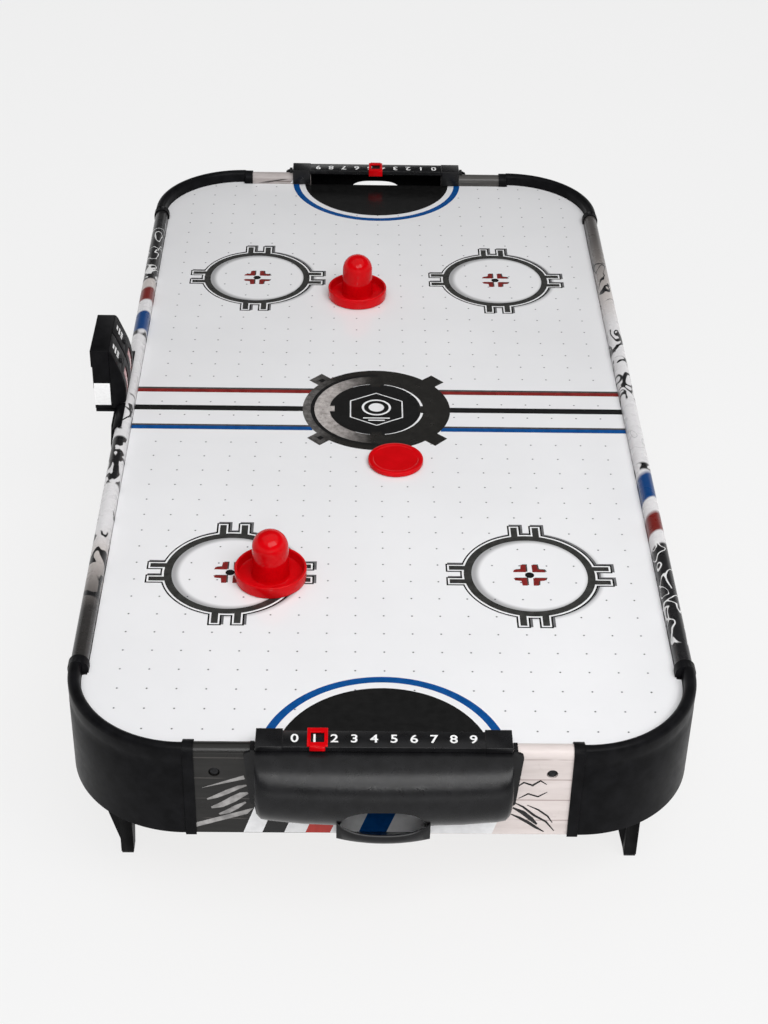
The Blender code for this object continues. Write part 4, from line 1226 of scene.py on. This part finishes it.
def make_front_graphics():
    low, high = STRIPE_LOW, STRIPE_TOP
    planks_edge = [(3.0, low), (87.0, low), (91.0, -62.0), (60.0, high), (25.0, high)]
    white = [slanted(-109.5, -94.6), slanted(-77.3, -60.6), slanted(-41.2, -18.8), planks_edge]
    front_print("white", INK_WHITE, white)
    front_print("black", INK_BLACK, [slanted(-94.6, -77.3)])
    front_print("red", INK_SIGNAL, [slanted(-60.6, -41.2)])
    front_print("blue", INK_BLUE, [slanted(-18.8, 3.0)])
    grey = ink("ink_smoke", (0.30, 0.29, 0.285), 0.3)
    slash = [[(-141.0, -29.0), (-108.0, -15.5), (-107.0, -19.5)],
             [(-149.5, -72.2), (-149.5, -67.4), (-101.0, -50.0), (-106.0, -56.5)],
             brush([(-137, -41), (-130, -38), (-121, -33), (-112, -28), (-106, -26)], 4.4),
             brush([(-134, -50), (-126, -47), (-117, -41), (-110, -36), (-105, -34)], 6.4),
             brush([(-128, -57), (-121, -54), (-114, -49), (-107, -44)], 4.6)]
    front_print("slashes", grey, slash, 0.09)
    strokes = [brush([(103, -27), (109, -21), (116, -24), (122, -19), (127, -23)], 2.2),
               brush([(106, -38), (113, -33), (121, -36), (128, -31)], 1.8),
               brush([(102, -42), (110, -47), (119, -56), (129, -63), (136, -73)], 2.2),
               brush([(101, -55), (108, -59), (115, -64), (121, -69), (128, -74)], 3.0),
               brush([(102, -48), (110, -53), (117, -60), (122, -66)], 4.2),
               brush([(113, -45), (122, -50), (130, -57), (134, -64)], 1.7)]
    front_print("strokes", INK_BLACK, strokes, 0.09)
    inner_rail_print()


def inner_rail_print():
    """Slash, a white and a blue patch on the far end rail's inner face."""
    y = HALF_Y - WALL - 0.05
    slash = [(-140.0, 1.2), (-128.0, 1.2), (-104.0, 6.0), (-112.0, 6.0)]
    white = [(-102, 0.8), (-92, 0.8), (-92, 6), (-98, 6)]
    blue = [(-92, 0.8), (-82, 0.8), (-80, 6), (-90, 6)]
    prints = (("slash", INK_DUSK, slash), ("white", INK_WHITE, white), ("blue", INK_BLUE, blue))
    for name, finish, shape in prints:
        piece("print_far_" + name, patches([[(a, y, b) for a, b in shape]]), finish)


# ---- studio

def studio_floor():
    """Pale floor, partly lit from below, that curves up far away."""
    made = Finish("studio_floor", 0.9, Specular_IOR_Level=0.1, Emission_Strength=0.79)
    tone = made.mix(made.noise(3.0), (0.11, 0.11, 0.11), (0.12, 0.12, 0.12))
    made.set("Base Color", tone)
    made.shader.inputs["Emission Color"].default_value = (1.0, 1.0, 1.0, 1.0)
    rings = ((14.0, 0.0), (16.4, 0.9), (17.8, 2.8), (18.4, 5.5))
    steps = 96
    verts = [(0.0, 0.0, 0.0)]
    for radius, height in rings:
        round_it = arc(0.0, 0.0, radius, 0.0, 360.0 - 360.0 / steps, steps - 1)
        verts += [(x, y, height) for x, y in round_it]
    faces = [[0, 1 + i, 1 + (i + 1) % steps] for i in range(steps)]
    for ring in range(len(rings) - 1):
        low = 1 + ring * steps
        for i in range(steps):
            j = (i + 1) % steps
            faces.append([low + i, low + steps + i, low + steps + j, low + j])
    mesh = bpy.data.meshes.new("studio_floor")
    mesh.from_pydata(verts, [], faces)
    mesh.materials.append(made.material)
    floor = show("studio_floor", mesh)
    floor.location.z = -0.0002


def studio_world(strength):
    world = bpy.data.worlds.new("studio")
    world.use_nodes = True
    sky = world.node_tree.nodes["Background"]
    sky.inputs["Color"].default_value = (1.0, 1.0, 1.0, 1.0)
    sky.inputs["Strength"].default_value = strength
    bpy.context.scene.world = world


def soft_light(name, place, target, wide, high, watts):
    """An area light at one point, turned to face another."""
    light = bpy.data.lights.new(name, "AREA")
    light.shape = "RECTANGLE"
    light.size = wide
    light.size_y = high
    light.energy = watts
    lamp = show(name, light)
    lamp.location = place
    lamp.rotation_euler = (Vector(target) - Vector(place)).to_track_quat("-Z", "Y").to_euler()


# the photo's camera, fitted to the air holes, the printed rings and the goal arcs
CAMERA_LENS = 67.391
CAMERA_SPOT = (-29.5, -1592.3, 1012.9)
CAMERA_TURN = (54.406, -1.0831, -0.5529)


def studio_camera():
    lens = bpy.data.cameras.new("camera")
    lens.lens = CAMERA_LENS
    lens.sensor_width = 36.0
    lens.clip_start = 0.05
    lens.clip_end = 50.0
    camera = show("camera", lens)
    camera.location = spot(*CAMERA_SPOT)
    camera.rotation_euler = tuple(radians(a) for a in CAMERA_TURN)
    bpy.context.scene.camera = camera


def make_studio():
    studio_floor()
    studio_world(0.10)
    soft_light("overhead", (0.1, -0.3, 2.7), (0.0, 0.0, 0.2), 4.6, 3.6, 44)
    soft_light("main", (0.7, -1.9, 2.40), (0.0, -0.2, 0.1), 2.8, 1.3, 64)
    soft_light("band", (0.1, -2.4, 1.45), (0.0, -0.5, 0.1), 0.24, 0.15, 4)
    soft_light("low_front", (0.2, -2.6, 0.25), (0.0, -0.55, 0.12), 1.6, 0.3, 2)
    bpy.context.scene.view_settings.view_transform = "Standard"
    studio_camera()


# ---- the table

def at_corners(part):
    return ["%s_%s_%s" % (part, a, b) for a in ("near", "far") for b in ("left", "right")]


def at_ends(part):
    return [part + "_near", part + "_far"]


def keep_nodes(satin, grained, red):
    """Finishes for the CAD nodes that are shown as they are."""
    legs = moulded("leg_black", (0.0035, 0.0035, 0.0038), (0.0070, 0.0070, 0.0075), 0.50,
                   1300, 0.00007)
    blower = moulded("blower_black", (0.012, 0.012, 0.013), (0.024, 0.024, 0.025), 0.38,
                     900, 0.00005)
    switch = moulded("switch_black", (0.010, 0.010, 0.011), (0.019, 0.019, 0.020), 0.28,
                     1400, 0.00003)
    steel = fine("blackened_steel", (0.012, 0.012, 0.013), (0.030, 0.030, 0.032), 500,
                 0.00004, 0.42, 0.85)
    battens = ["batten_" + side for side in ("near", "far", "left", "right")]
    keep(at_ends("score_bar"), grained, 0.25)
    keep(at_ends("score_slider"), red, 0.15)
    keep(at_corners("leg"), legs, 0.6, 3)
    keep(at_corners("foot_pad"), rubber(), 0.4, 3)
    keep(at_corners("apron_screw"), steel, 0.2)
    keep(["bottom_panel"], hardboard())
    keep(at_ends("plenum_rib") + battens, particle_board())
    keep(["blower_frame", "blower_guard", "blower_impeller"], blower, 0.2)
    keep(["blower_motor"], drawn_steel(), 0.4)
    keep(["power_inlet", "power_switch", "power_rocker"], switch, 0.2)
    keep(["scorer_housing"], satin, 1.6, 4)
    keep(["scorer_bracket", "scorer_face", "scorer_battery_door"], satin)
    keep(at_ends("scorer_button"), switch, 0.2)
    keep(at_ends("scorer_window"), red_window(), 0.15)
    keep(["scorer_battery_lower", "scorer_battery_upper"], battery_wrap(), 0.2)
    keep(["scorer_circuit"], circuit_board(), 0.1)


def main():
    satin = moulded("satin_black", (0.0035, 0.0035, 0.0040), (0.0070, 0.0070, 0.0080), 0.36,
                    1500, 0.00005)
    grained = moulded("grained_black", (0.0045, 0.0045, 0.0050), (0.0085, 0.0085, 0.0095), 0.28,
                      1100, 0.00008, 0.24)
    red = red_plastic()
    make_board()
    corner_rings()
    centre_marks()
    cross_lines()
    goal_arcs()
    centre_emblem()
    make_rails()
    make_aprons()
    make_front_graphics()
    make_corners(satin)
    make_catcher("near", -1, grained)
    make_catcher("far", 1, grained)
    make_digits()
    make_playing_pieces(red, felt())
    keep_nodes(satin, grained, red)
    make_scorer_trim()
    make_studio()


main()
